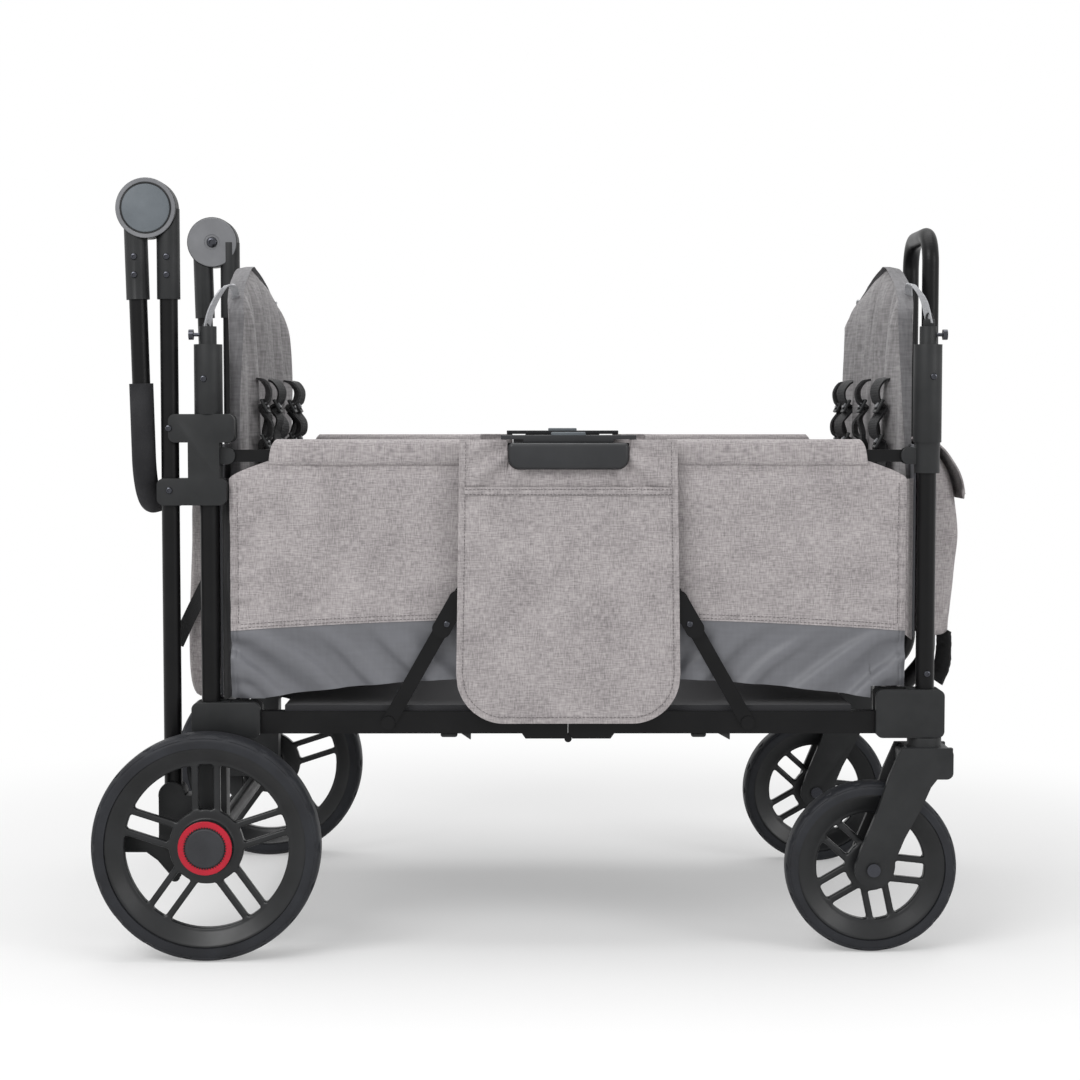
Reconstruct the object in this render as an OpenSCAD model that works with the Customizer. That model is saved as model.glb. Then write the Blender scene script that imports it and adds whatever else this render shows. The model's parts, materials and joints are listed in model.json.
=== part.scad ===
// Folding stroller wagon with two facing seats, steered by front casters.
// X runs from the rear (push handle) end to the front (caster) end, Z is up,
// and the origin lies on the ground under the middle of the whole outline.

/* [Frame] */
// Distance between the rear and front post axes
post_span = 964; // [930:2:1000]
// Half distance between the left and right posts
post_y = 300; // [292:1:312]
// Diameter of the four corner posts
post_d = 25; // [22:0.5:27]
// Diameter of the two push handle uprights
handle_post_d = 24; // [20:0.5:26]
// How far the push handle uprights stand behind the rear posts
handle_post_back = 52; // [46:1:58]
// Height of the lower rails' middle
rail_z = 312; // [306:1:320]
// Height of a lower rail's section
rail_h = 30; // [24:1:32]
// Width of a lower rail's section
rail_w = 20; // [16:1:22]
// Height of the top rails' middle
top_z = 671; // [655:1:690]
// Height of a top rail's section
top_rail_h = 17; // [14:0.5:20]
// Width of a top rail's section
top_rail_w = 12; // [9:0.5:13]
// Diameter of the cross tubes between left and right
cross_d = 20; // [16:0.5:22]
// Thickness of the floor boards
floor_t = 8; // [6:0.5:10]

/* [Fold] */
// Distance of a lower rail's corner pivot from its post
corner_pivot_run = 40; // [36:0.5:44]
// Distance of a top rail's outer pivot from its post
top_pivot_run = 24; // [22:0.5:27]
// How far the middle pivots lie under the rails' own line
hinge_drop = 22; // [20:0.5:24]
// Distance of a brace's lower pivot from the middle of the wagon
brace_foot_run = 242; // [220:1:260]
// Distance of a brace's top pivot from the middle of the wagon
brace_head_run = 40; // [38:0.5:46]
// Height of a brace's top pivot
brace_head_z = 668; // [660:1:672]
// Width of a brace bar
brace_w = 20; // [16:0.5:22]
// Thickness of a brace bar
brace_t = 3; // [2.5:0.1:3.2]
// Length of a lower brace from its pivot to its tip
brace_lower_l = 360; // [340:1:365]
// Diameter of the pivot pins in the rails and brackets
pivot_d = 8; // [6:0.5:9]

/* [Rear wheels] */
// Diameter of a rear wheel over its tyre
rear_wheel_d = 305; // [290:1:320]
// Width of a rear tyre
rear_tyre_w = 46; // [40:1:52]
// Radial thickness of a rear tyre
rear_tyre_h = 16.5; // [13:0.5:20]
// Radial thickness of a rear rim's band
rear_band_h = 26; // [20:0.5:30]
// Diameter of a rear wheel's hub spider
rear_spider_d = 100; // [90:1:110]
// Diameter of the rear axle's ends
rear_axle_d = 12; // [10:0.5:14]
// Outer diameter of the coloured hub ring
hub_ring_d = 72; // [66:1:78]
// Inner diameter of the coloured hub ring
hub_ring_bore = 54; // [50:1:58]

/* [Front casters] */
// Diameter of a front wheel over its tyre
front_wheel_d = 231; // [220:1:240]
// Width of a front tyre
front_tyre_w = 42; // [36:1:46]
// Radial thickness of a front tyre
front_tyre_h = 14; // [11:0.5:17]
// Radial thickness of a front rim's band
front_band_h = 28; // [22:0.5:31]
// Diameter of a front wheel's hub spider
front_spider_d = 68; // [66:1:76]
// Diameter of a front axle bolt
front_axle_d = 10; // [8:0.5:12]
// Distance of a front axle behind its swivel
trail = 72; // [66:1:78]
// Thickness of a fork leg
fork_leg_t = 10; // [8:0.5:12]
// Diameter of a caster's swivel stem
stem_d = 16; // [14:0.5:18]

/* [Wheel pattern] */
// Number of spoke pairs in a wheel
spoke_pairs = 5; // [4:1:6]
// Width of one spoke
spoke_w = 9; // [6:0.5:10]
// Depth of one spoke along the axle
spoke_depth = 14; // [10:0.5:18]
// Distance between the two spokes of a pair
spoke_pitch = 29; // [26:0.5:32]
// Angle of the first spoke pair of a rear wheel
rear_spoke_angle = 90; // [0:1:90]
// Angle of the first spoke pair of a front wheel
front_spoke_angle = 66; // [0:1:90]

/* [Push handle] */
// Height of the push handle's pivot
hinge_z = 1000; // [980:1:1020]
// Diameter of the pivot housings
hinge_d = 80; // [74:1:84]
// Diameter of the push button in a pivot housing
button_d = 64; // [56:1:66]
// Distance from the uprights to the handle's pivot
hinge_back = 27; // [25:0.5:30]
// Distance from the handle's legs to the handle's pivot
arm_back = 17; // [15:0.5:19]
// Length of the handle's legs from the pivot to the crossbar
handle_drop = 392; // [370:1:400]
// Lean of the folded handle towards the wagon
handle_lean = 1.5; // [0.5:0.1:2]
// Diameter of the handle's tube
handle_d = 24; // [20:0.5:25]
// Diameter of the foam grip
grip_d = 32; // [29:0.5:34]
// Bend radius of the handle's tube
handle_bend_r = 62; // [50:1:75]

/* [Sockets and front handle] */
// Outer diameter of a canopy socket
socket_d = 38; // [35:0.5:42]
// Diameter of the canopy socket's bore
socket_bore = 16.2; // [14:0.1:18]
// Depth of the canopy socket's bore
socket_depth = 60; // [50:1:66]
// Height of the canopy sockets' mouths
socket_top_z = 844; // [830:1:860]
// Height of the front handle over all
front_handle_z = 996; // [970:1:1010]
// Diameter of the front handle's tube
front_handle_d = 24; // [22:0.5:26]
// Half distance between the front handle's legs
front_handle_y = 83; // [74:1:96]
// Distance of the front handle's legs in front of the front posts
front_handle_out = 41; // [38:0.5:44]
// Bend radius of the front handle
front_bend_r = 42; // [36:1:50]

/* [Soft goods] */
// How far the front pouch stands out from the front posts
pouch_reach = 64; // [56:1:74]
// How far the rear pocket stands out from the rear posts
pocket_reach = 42; // [36:1:46]
// Height of the side panels' top edge
panel_top_z = 693; // [690:0.5:698]
// Thickness of a side panel
panel_t = 5.5; // [4:0.5:6]
// Thickness of a centre flap
flap_t = 4; // [3:0.5:6]
// Width of a centre flap at its top
flap_w = 290; // [270:1:310]
// Height of a centre flap's lower edge
flap_foot_z = 313; // [300:1:330]
// Corner radius of a centre flap's lower edge
flap_corner_r = 66; // [50:1:80]
// Thickness of the end walls
wall_t = 4; // [3:0.5:5]
// Thickness of a seat back at its crown
back_t = 30; // [24:1:36]
// Half width of a seat back
back_half_w = 252; // [240:1:260]
// Height of a seat back's crown
back_top_z = 936; // [915:1:955]
// Length of a seat pad
pad_l = 270; // [240:1:300]
// Thickness of a seat pad at its crown
pad_t = 56; // [46:1:64]
// Height of a seat pad's top
pad_z = 512; // [490:1:530]

/* [Hidden] */

// Fits and clearances
eps = 1;
run_fit = 0.05;
seat_fit = 0.06;
soft_gap = 0.3;
part_gap = 0.4;
slot_gap = 0.4;
bar_step = 0.3;

// Overall places
rear_r = rear_wheel_d / 2;
front_r = front_wheel_d / 2;
overall_length = rear_r + post_span + pouch_reach;
rear_x = rear_r - overall_length / 2;
front_x = rear_x + post_span;
mid_x = (rear_x + front_x) / 2;
half_span = post_span / 2;
post_r = post_d / 2;
handle_post_r = handle_post_d / 2;
handle_post_x = rear_x - handle_post_back;
tube_fn = 64;
round_fn = 48;
side_names = [-1, 1];

// Brackets and collars: width across, heights and wall
bracket_w = 40;
bracket_foot_z = 292;
rear_bracket_top_z = 340;
front_bracket_top_z = 357;
bracket_out = 24;
bracket_in = 68;
bracket_edge_r = 9;
bracket_inner_y = post_y - bracket_w / 2;
slot_floor_z = rail_z - rail_h / 2 - slot_gap;
rail_slot_run = corner_pivot_run - rail_h / 2 - slot_gap;
post_foot_z = 335;
rear_post_foot_z = 303;
stem_top_z = 333;
clamp_w = 34;
clamp_top_z = 727;
clamp_plate_h = 38;
clamp_foot_z = 605;
clamp_foot_h = 36;
clamp_in = 36;
clamp_foot_in = 25;
clamp_out = 16;
clamp_spine_out = 26;
collar_foot_z = 648;
collar_top_z = 689;
ear_t = 6;
pin_r = pivot_d / 2;
collar_r = 17;

// Layers outwards from the posts' plane
rail_out_y = post_y + rail_w / 2;
top_rail_in_y = post_y - top_rail_w;
ear_in_y = top_rail_in_y - slot_gap - ear_t;
ear_out_y = post_y + slot_gap + ear_t;
panel_in_y = post_y + soft_gap;
brace_lower_y = rail_out_y + slot_gap;
brace_upper_y = brace_lower_y + brace_t + slot_gap;
hub_plate_y = brace_upper_y + brace_t + soft_gap;
hub_plate_t = 5;
hub_body_y = hub_plate_y + hub_plate_t;
hub_body_t = 18;
flap_in_y = hub_body_y + soft_gap;

// Fold pivots
corner_z = rail_z;
rail_run = half_span - corner_pivot_run;
hub_pivot_run = half_span - top_pivot_run - rail_run;
centre_pivot_z = rail_z - hinge_drop;
hub_pivot_z = top_z - hinge_drop;
leaf_l = 62;
barrel_r = 5;
centre_pin_r = 2.5;
hub_pin_r = 5;
hub_lug_r = 10;
rivet_head_r = 9;
rivet_head_t = 2.5;
brace_run = brace_foot_run - brace_head_run;
brace_rise = brace_head_z - rail_z;
brace_l = sqrt(brace_run * brace_run + brace_rise * brace_rise);
brace_lean = atan(brace_run / brace_rise);
collar_run = 147;
brace_upper_l = brace_l - collar_run;
brace_collar_w = 26;
brace_collar_l = 44;
brace_collar_t = 4;

// Side hubs
hub_w = 160;
hub_foot_z = 654;
hub_top_z = 689;
hub_edge_r = 12;
hub_plate_w = 120;
hub_plate_foot_z = 636;
hub_cap_w = 180;
hub_cap_t = 5.5;
hub_cap_gap = 0.5;
hub_cap_in_y = post_y;
hub_cap_depth = 30;
hub_button_w = 46;
hub_button_h = 13;
hub_button_in = 10;
hub_button_depth = 13.4;
hub_button_foot_z = 690;
hub_button_travel = 4;
hub_cap_z = panel_top_z + hub_cap_gap;
hub_web_gap = 0.5;

// Rear axle, knuckles and wheels
knuckle_w = 34;
knuckle_r = 22;
knuckle_post_r = 18;
knuckle_post_top_z = 232;
handle_post_foot_z = 158;
beam_r = 11;
wheel_gap = 11;
wheel_y = post_y + knuckle_w / 2 + wheel_gap + rear_tyre_w / 2;
rear_axle_r = rear_axle_d / 2;
hub_barrel_r = 22;
axle_end_inset = 7;
cap_seat_inset = 3;
ring_t = 3;
cap_t = 5;
cap_crown = 2;
rim_wall = 3.5;
tyre_edge_r = 9;
tyre_edge_share = 0.45;
spoke_foot_share = 0.7;
spoke_inset = 1.5;

// Front casters
front_axle_r = front_axle_d / 2;
fork_gap = 3;
fork_in_y = front_tyre_w / 2 + fork_gap;
fork_out_y = fork_in_y + fork_leg_t;
axle_boss_r = 25;
fork_crown_foot_z = 238;
fork_crown_top_z = 280;
fork_crown_out = 34;
fork_crown_in = 36;
fork_collar_r = 23;
bolt_head_r = 9;
bolt_head_t = 4;
stem_r = stem_d / 2;
front_barrel_r = 16;
fork_edge_shares = [[-0.49, 1], [-0.72, 0.77], [-0.92, 0.5], [-1.24, 0.16]];
fork_back_shares = [[-0.62, 0.05], [-0.42, 0.26], [-0.1, 0.52], [0.06, 0.68], [0.22, 0.77],
    [0.46, 0.77], [0.46, 1]];

// Push handle
hinge_x = handle_post_x - hinge_back;
hinge_r = hinge_d / 2;
hinge_base_t = 13;
hinge_arm_t = 16.6;
hinge_pin_r = 8;
socket_wall = 3.5;
hinge_socket_l = 120;
hinge_post_top = 46;
button_r = button_d / 2;
button_t = 7;
button_recess = 9;
button_proud = 1.5;
handle_r = handle_d / 2;
grip_r = grip_d / 2;
grip_top_drop = 232;
arm_seat_drop = 50;

// Sockets and pull pins
socket_r = socket_d / 2;
socket_bore_r = socket_bore / 2;
neck_r = 11.5;
neck_h = 24;
post_top_gap = 14;
rear_socket_foot_z = clamp_top_z;
front_socket_foot_z = collar_top_z;
post_top_z = socket_top_z - socket_depth - post_top_gap;
front_handle_r = front_handle_d / 2;
front_knee = 40;
front_knee_r = 50;
front_eye_wall = 6;
front_eye_w = 34;
pull_pin_r = 2.5;
pull_knob_r = 7;
pull_knob_t = 6;
pull_stem_l = 14;
pull_pin_drop = 11;
pull_pin_z = socket_top_z - pull_pin_drop;

// Soft goods
wall_run = cross_d / 2 + soft_gap;
wall_half_y = bracket_inner_y - eps;
wall_top_z = 686;
wall_low_half_y = 240;
wall_cut_z = 424;
wall_cut_lean = 8;
low_cross_z = 325;
wall_foot_z = low_cross_z + cross_d / 2 + front_eye_wall + soft_gap;
back_run = wall_run + wall_t;
back_foot_z = pad_z + 2 * soft_gap;
back_shoulder_z = 868;
arch_power_share = 1.6;
arch_round_share = 0.8;
edge_share = 0.3;
fold_depth = 2.5;
fold_count = 7;
pad_run = wall_run + wall_t + soft_gap;
pad_half_w = 268;
pad_crown_share = 0.6;
draw_share = 0.03;
channel_share = 0.45;
channel_width_share = 0.05;
panel_run = 27;
panel_step_run = 82;
panel_step_lean = 3;
panel_step_z = 659;
panel_shoulder_z = 640;
panel_corner_run = 74;
panel_corner_z = 345;
panel_mid_z = 374;
panel_foot_gap = 3;
panel_notch_run = 48;
panel_notch_z = 632;
panel_arc_steps = 12;
flap_notch_gap = 2;
flap_bridge_h = 6;
flap_flare = 6;
floor_run = 100;
floor_gap = 1;
floor_half_y = post_y + rail_w / 4;
pouch_half_w = 235;
pouch_foot_z = 418;
pouch_top_z = 685;
pouch_foot_share = 0.12;
pouch_top_share = 0.75;
pouch_side_share = 0.7;
pocket_half_w = 268;
pocket_foot_z = 338;
pocket_top_z = 668;
pocket_end_share = 0.35;
pocket_side_share = 0.3;

// Shared shapes

// A flat plate outline with round corners, from one corner to the other
module round_box(low, high, r) {
    translate([low[0] + r, low[1]])
        square([high[0] - low[0] - 2 * r, high[1] - low[1]]);
    translate([low[0], low[1] + r])
        square([high[0] - low[0], high[1] - low[1] - 2 * r]);
    for (x = [low[0] + r, high[0] - r], z = [low[1] + r, high[1] - r])
        translate([x, z]) circle(r = r, $fn = round_fn);
}

// A flat bar outline between two points, with round ends a little wider than the bar
module round_bar(a, b, r) {
    run = norm(b - a);
    translate(a) circle(r = r, $fn = round_fn);
    translate(b) circle(r = r, $fn = round_fn);
    translate(a) rotate(atan2(b[1] - a[1], b[0] - a[0])) translate([0, bar_step - r])
        square([run, 2 * (r - bar_step)]);
}

// Stands an outline drawn in X and Z up, from one depth in Y to another
module plate(y0, y1) {
    translate([0, y1, 0]) rotate([90, 0, 0]) linear_extrude(y1 - y0) children();
}

// A round bar along Y
module cross_bar(x, z, r, y0, y1) {
    translate([x, y1, z]) rotate([90, 0, 0]) cylinder(r = r, h = y1 - y0, $fn = tube_fn);
}

// Repeats a piece of the left side on the right side
module both_sides() {
    children();
    mirror([0, 1, 0]) children();
}

// Puts a piece of the left side on one side
module on_side(s) {
    if (s > 0) children();
    else mirror([0, 1, 0]) children();
}

// Places a piece drawn from a post towards the middle at the rear or front end
module at_end(e) {
    if (e == "rear") translate([rear_x, 0, 0]) children();
    else translate([front_x, 0, 0]) mirror([1, 0, 0]) children();
}

// Places a piece drawn from the middle towards the rear at either end
module from_middle(e) {
    translate([mid_x, 0, 0]) {
        if (e == "rear") mirror([1, 0, 0]) children();
        else children();
    }
}

// Wheels, drawn about their own middle with the outer face towards +Y

// A tyre with round shoulders
module tyre_shape(r, w, h) {
    edge_r = min(tyre_edge_r, h * tyre_edge_share);
    rotate([90, 0, 0]) rotate_extrude($fn = tube_fn * 2) {
        translate([r - h, -w / 2]) square([h - edge_r, w]);
        translate([r - h, edge_r - w / 2]) square([h, w - 2 * edge_r]);
        for (s = side_names) translate([r - edge_r, s * (w / 2 - edge_r)]) circle(r = edge_r, $fn = round_fn);
    }
}

// A moulded wheel: dished band, pairs of parallel spokes and a hub with its bore
module rim_shape(r, band_h, w, angle, spider_r, out_r, in_r, bore_r, y0, y1) {
    inner_r = r - band_h;
    lip = w / 2 - rim_wall;
    foot_r = spider_r * spoke_foot_share;
    side = spoke_depth - 2 * spoke_inset;
    difference() {
        union() {
            rotate([90, 0, 0]) rotate_extrude($fn = tube_fn * 2)
                polygon([[r, -lip], [r, lip], [r - rim_wall, lip], [inner_r + rim_wall, spoke_depth / 2],
                    [inner_r, spoke_depth / 2], [inner_r, -spoke_depth / 2],
                    [inner_r + rim_wall, -spoke_depth / 2], [r - rim_wall, -lip]]);
            cross_bar(0, 0, spider_r, -spoke_depth / 2, spoke_depth / 2);
            cross_bar(0, 0, out_r, 0, y1);
            cross_bar(0, 0, in_r, y0, 0);
            for (i = [0 : spoke_pairs - 1], s = side_names)
                rotate([0, -angle - 360 * i / spoke_pairs, 0])
                    translate([foot_r, -side / 2, s * spoke_pitch / 2 - spoke_w / 2])
                        cube([inner_r + rim_wall - foot_r, side, spoke_w]);
        }
        cross_bar(0, 0, bore_r, y0 - eps, y1 + eps);
    }
}

module at_rear_wheel(s) {
    translate([rear_x, s * wheel_y, rear_r]) on_side(s) children();
}

module rear_tyre(s) {
    color("#1d1e20") at_rear_wheel(s) tyre_shape(rear_r, rear_tyre_w, rear_tyre_h);
}

module rear_rim(s) {
    barrel_out = rear_tyre_w / 2 - cap_seat_inset - ring_t;
    color("#2a2b2d") at_rear_wheel(s)
        rim_shape(rear_r - rear_tyre_h - soft_gap, rear_band_h, rear_tyre_w, rear_spoke_angle,
            rear_spider_d / 2, hub_ring_d / 2, hub_barrel_r, rear_axle_r + run_fit,
            part_gap - wheel_gap - rear_tyre_w / 2, barrel_out);
}

module rear_hub_ring(s) {
    y0 = rear_tyre_w / 2 - cap_seat_inset - ring_t;
    color("#b0202c") at_rear_wheel(s) rotate([-90, 0, 0]) rotate_extrude($fn = tube_fn)
        translate([hub_ring_bore / 2, y0]) square([(hub_ring_d - hub_ring_bore) / 2, ring_t]);
}

module rear_hub_cap(s) {
    y0 = rear_tyre_w / 2 - cap_seat_inset - ring_t;
    r = hub_ring_bore / 2 - seat_fit;
    color("#26272a") at_rear_wheel(s) rotate([-90, 0, 0]) rotate_extrude($fn = tube_fn)
        polygon([[0, y0], [r, y0], [r, y0 + ring_t], [r - cap_crown, y0 + cap_t], [0, y0 + cap_t]]);
}

module at_caster(s) {
    translate([front_x, s * post_y, 0]) on_side(s) children();
}

module front_tyre(s) {
    color("#1d1e20") at_caster(s) translate([-trail, 0, front_r])
        tyre_shape(front_r, front_tyre_w, front_tyre_h);
}

module front_rim(s) {
    reach = fork_in_y - part_gap;
    color("#2a2b2d") at_caster(s) translate([-trail, 0, front_r])
        rim_shape(front_r - front_tyre_h - soft_gap, front_band_h, front_tyre_w, front_spoke_angle,
            front_spider_d / 2, front_barrel_r, front_barrel_r, front_axle_r + run_fit, -reach, reach);
}

// Outline of a fork leg, from the crown down to the round axle end
module fork_outline() {
    drop = fork_crown_top_z - front_r;
    polygon(concat(
        [for (p = fork_edge_shares) [p[0] * trail, front_r + p[1] * drop]],
        [[-trail - axle_boss_r, front_r], [axle_boss_r - trail, front_r]],
        [for (p = fork_back_shares) [p[0] * trail, front_r + p[1] * drop]]));
    translate([-trail, front_r]) circle(r = axle_boss_r, $fn = round_fn);
}

module caster_fork(s) {
    color("#2b2c2f") at_caster(s) difference() {
        union() {
            plate(fork_in_y, fork_out_y) fork_outline();
            plate(-fork_out_y, -fork_in_y) fork_outline();
            plate(-fork_out_y, fork_out_y)
                round_box([-fork_crown_in, fork_crown_foot_z], [fork_crown_out, fork_crown_top_z],
                    bracket_edge_r);
            translate([0, 0, fork_crown_top_z - eps])
                cylinder(r = fork_collar_r, h = bracket_foot_z - soft_gap - fork_crown_top_z + eps,
                    $fn = tube_fn);
            translate([0, 0, fork_crown_top_z])
                cylinder(r = stem_r, h = stem_top_z - part_gap - fork_crown_top_z, $fn = tube_fn);
        }
        cross_bar(-trail, front_r, front_axle_r + run_fit, -fork_out_y - eps, fork_out_y + eps);
    }
}

module caster_bolt(s) {
    color("#3a3b3e") at_caster(s) translate([-trail, 0, front_r]) {
        cross_bar(0, 0, front_axle_r, -fork_out_y, fork_out_y);
        both_sides() cross_bar(0, 0, bolt_head_r, fork_out_y, fork_out_y + bolt_head_t);
    }
}

// Rear frame

module rear_axle() {
    stub_y = wheel_y + rear_tyre_w / 2 - cap_seat_inset - ring_t - axle_end_inset;
    color("#3a3b3e") {
        cross_bar(rear_x, rear_r, rear_axle_r, -stub_y, stub_y);
        cross_bar(rear_x, rear_r, beam_r, knuckle_w / 2 - post_y, post_y - knuckle_w / 2);
    }
}

module rear_knuckles() {
    back = -handle_post_back;
    color("#2b2c2f") both_sides() at_end("rear") difference() {
        plate(post_y - knuckle_w / 2, post_y + knuckle_w / 2) {
            round_bar([0, rear_r], [0, rear_r + knuckle_r], knuckle_r);
            translate([-knuckle_r, rear_r]) square([2 * knuckle_r, bracket_foot_z - rear_r]);
            round_bar([back, handle_post_foot_z], [back, knuckle_post_top_z - knuckle_post_r],
                knuckle_post_r);
            translate([back, handle_post_foot_z - knuckle_post_r])
                square([handle_post_back, knuckle_post_top_z - handle_post_foot_z]);
        }
        cross_bar(0, rear_r, rear_axle_r + seat_fit, post_y - knuckle_w, post_y + knuckle_w);
        translate([back, post_y, handle_post_foot_z])
            cylinder(r = handle_post_r + seat_fit, h = knuckle_post_top_z, $fn = tube_fn);
    }
}

module rear_posts() {
    color("#1f2022") both_sides() translate([rear_x, post_y, rear_post_foot_z])
        cylinder(r = post_r, h = post_top_z - rear_post_foot_z, $fn = tube_fn);
}

module handle_posts() {
    color("#1f2022") both_sides() translate([handle_post_x, post_y, handle_post_foot_z])
        cylinder(r = handle_post_r, h = hinge_z - hinge_post_top - handle_post_foot_z, $fn = tube_fn);
}

// A corner bracket with its post seat, the slot in which a lower rail turns and the rail's pin
module corner_bracket(top_z_here, seat_z) {
    difference() {
        plate(bracket_inner_y, post_y + bracket_w / 2)
            round_box([-bracket_out, bracket_foot_z], [bracket_in, top_z_here], bracket_edge_r);
        translate([0, post_y, seat_z]) cylinder(r = post_r + seat_fit, h = top_z_here, $fn = tube_fn);
        translate([rail_slot_run, post_y - rail_w / 2 - slot_gap, slot_floor_z])
            cube([bracket_in, rail_w + 2 * slot_gap, top_z_here]);
        children();
    }
    cross_bar(corner_pivot_run, corner_z, pin_r, bracket_inner_y, post_y + bracket_w / 2);
}

module rear_brackets() {
    color("#2b2c2f") both_sides() at_end("rear") corner_bracket(rear_bracket_top_z, rear_post_foot_z);
}

module front_brackets() {
    color("#2b2c2f") both_sides() at_end("front") corner_bracket(front_bracket_top_z, post_foot_z)
        translate([0, post_y, 0]) cylinder(r = stem_r + run_fit, h = stem_top_z, $fn = tube_fn);
}

// Ears that carry a top rail's outer pivot
module top_ears() {
    plate(ear_in_y, ear_out_y) round_bar([0, top_z], [top_pivot_run, top_z], top_rail_h / 2 + ear_t / 2);
}

// The slot in which a top rail turns, open upwards to a given height
module top_ear_slot(open_z) {
    run = top_pivot_run - top_rail_h / 2 - slot_gap;
    low = top_z - top_rail_h / 2 - slot_gap;
    translate([run, top_rail_in_y - slot_gap, low])
        cube([half_span, top_rail_w + 2 * slot_gap, open_z - low]);
}

module top_ear_pin() {
    cross_bar(top_pivot_run, top_z, pin_r, ear_in_y, ear_out_y);
}

// Clamps that tie the push handle's uprights to the rear posts
module handle_clamps() {
    back = -handle_post_back;
    color("#2b2c2f") both_sides() at_end("rear") difference() {
        union() {
            plate(post_y - clamp_w / 2, post_y + clamp_w / 2) {
                round_box([back - clamp_out, clamp_foot_z], [clamp_foot_in, clamp_foot_z + clamp_foot_h],
                    bracket_edge_r);
                round_box([back, clamp_top_z - clamp_plate_h], [clamp_in, clamp_top_z], bracket_edge_r);
                translate([-clamp_spine_out, clamp_foot_z + bracket_edge_r])
                    square([clamp_foot_in + clamp_spine_out - bracket_edge_r,
                        clamp_top_z - clamp_foot_z - 2 * bracket_edge_r]);
            }
            top_ears();
        }
        translate([0, post_y, 0]) cylinder(r = post_r + seat_fit, h = socket_top_z, $fn = tube_fn);
        translate([back, post_y, 0]) cylinder(r = handle_post_r + seat_fit, h = hinge_z, $fn = tube_fn);
        top_ear_slot(clamp_top_z + eps);
    }
    color("#2b2c2f") both_sides() at_end("rear") top_ear_pin();
}

// A canopy socket over a post's end, open at its mouth
module socket_shape(foot_z) {
    difference() {
        union() {
            translate([0, post_y, foot_z])
                cylinder(r = socket_r, h = socket_top_z - neck_h - foot_z, $fn = tube_fn);
            translate([0, post_y, foot_z]) cylinder(r = neck_r, h = socket_top_z - foot_z, $fn = tube_fn);
            children();
        }
        translate([0, post_y, 0]) cylinder(r = post_r + seat_fit, h = post_top_z + seat_fit, $fn = tube_fn);
        translate([0, post_y, socket_top_z - socket_depth])
            cylinder(r = socket_bore_r, h = socket_depth + eps, $fn = tube_fn);
        translate([0, post_y, pull_pin_z]) rotate([0, -90, 0])
            cylinder(r = pull_pin_r + run_fit, h = socket_r + eps, $fn = round_fn);
    }
}

module rear_sockets() {
    color("#2b2c2f") both_sides() at_end("rear") socket_shape(rear_socket_foot_z);
}

// Spring pin that locks a canopy pole, pulled outwards by its knob
module pull_pin(e, s) {
    tip = socket_bore_r + part_gap;
    color("#1d1e20") at_end(e) on_side(s) translate([-tip, post_y, pull_pin_z]) rotate([0, -90, 0]) {
        cylinder(r = pull_pin_r, h = pull_stem_l, $fn = round_fn);
        translate([0, 0, pull_stem_l - pull_knob_t / 2])
            cylinder(r = pull_knob_r, h = pull_knob_t, $fn = round_fn);
    }
}

// The low and high tubes that tie the two sides together at one end
module crossbars(e) {
    color("#1f2022") at_end(e) {
        cross_bar(0, low_cross_z, cross_d / 2, -bracket_inner_y, bracket_inner_y);
        cross_bar(0, top_z, cross_d / 2, -ear_in_y, ear_in_y);
    }
}

// Push handle, drawn about its pivot

module at_hinge() {
    translate([hinge_x, 0, hinge_z]) children();
}

// Fixed half of a pivot: disc, socket over the upright and the pin for the moving half
module hinge_bases() {
    y0 = post_y - hinge_base_t;
    y1 = post_y - soft_gap;
    sleeve_r = handle_post_r + socket_wall;
    pin_end = post_y + hinge_arm_t - button_recess;
    color("#2b2c2f") both_sides() at_hinge() difference() {
        union() {
            cross_bar(0, 0, hinge_r, y0, y1);
            cross_bar(0, 0, hinge_pin_r, y0, pin_end);
            difference() {
                translate([hinge_back, post_y, -hinge_socket_l])
                    cylinder(r = sleeve_r, h = hinge_socket_l, $fn = tube_fn);
                cross_bar(0, 0, hinge_r + part_gap, y1, 2 * post_y);
            }
        }
        translate([hinge_back, post_y, -hinge_z])
            cylinder(r = handle_post_r + seat_fit, h = hinge_z - hinge_post_top + seat_fit, $fn = tube_fn);
    }
}

module leaned() {
    rotate([0, -handle_lean, 0]) children();
}

// Moving half of a pivot: disc with the button's recess and the socket for the handle's leg
module hinge_arms() {
    y0 = post_y;
    y1 = post_y + hinge_arm_t;
    sleeve_r = handle_r + socket_wall;
    color("#2b2c2f") both_sides() at_hinge() difference() {
        union() {
            cross_bar(0, 0, hinge_r, y0, y1);
            leaned() difference() {
                translate([-arm_back, post_y, -hinge_socket_l])
                    cylinder(r = sleeve_r, h = hinge_socket_l - hinge_pin_r - eps, $fn = tube_fn);
                cross_bar(0, 0, hinge_r + part_gap, 0, y0);
            }
        }
        leaned() translate([-arm_back, post_y, -hinge_z])
            cylinder(r = handle_r + seat_fit, h = hinge_z - arm_seat_drop + seat_fit, $fn = tube_fn);
        cross_bar(0, 0, hinge_pin_r + run_fit, y0 - eps, y1);
        cross_bar(0, 0, button_r + soft_gap, y1 - button_recess, y1 + hinge_base_t);
    }
}

module hinge_button(s) {
    y1 = post_y + hinge_arm_t + button_proud;
    color("#4a4d52") at_hinge() on_side(s) cross_bar(0, 0, button_r, y1 - button_t, y1);
}

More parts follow.
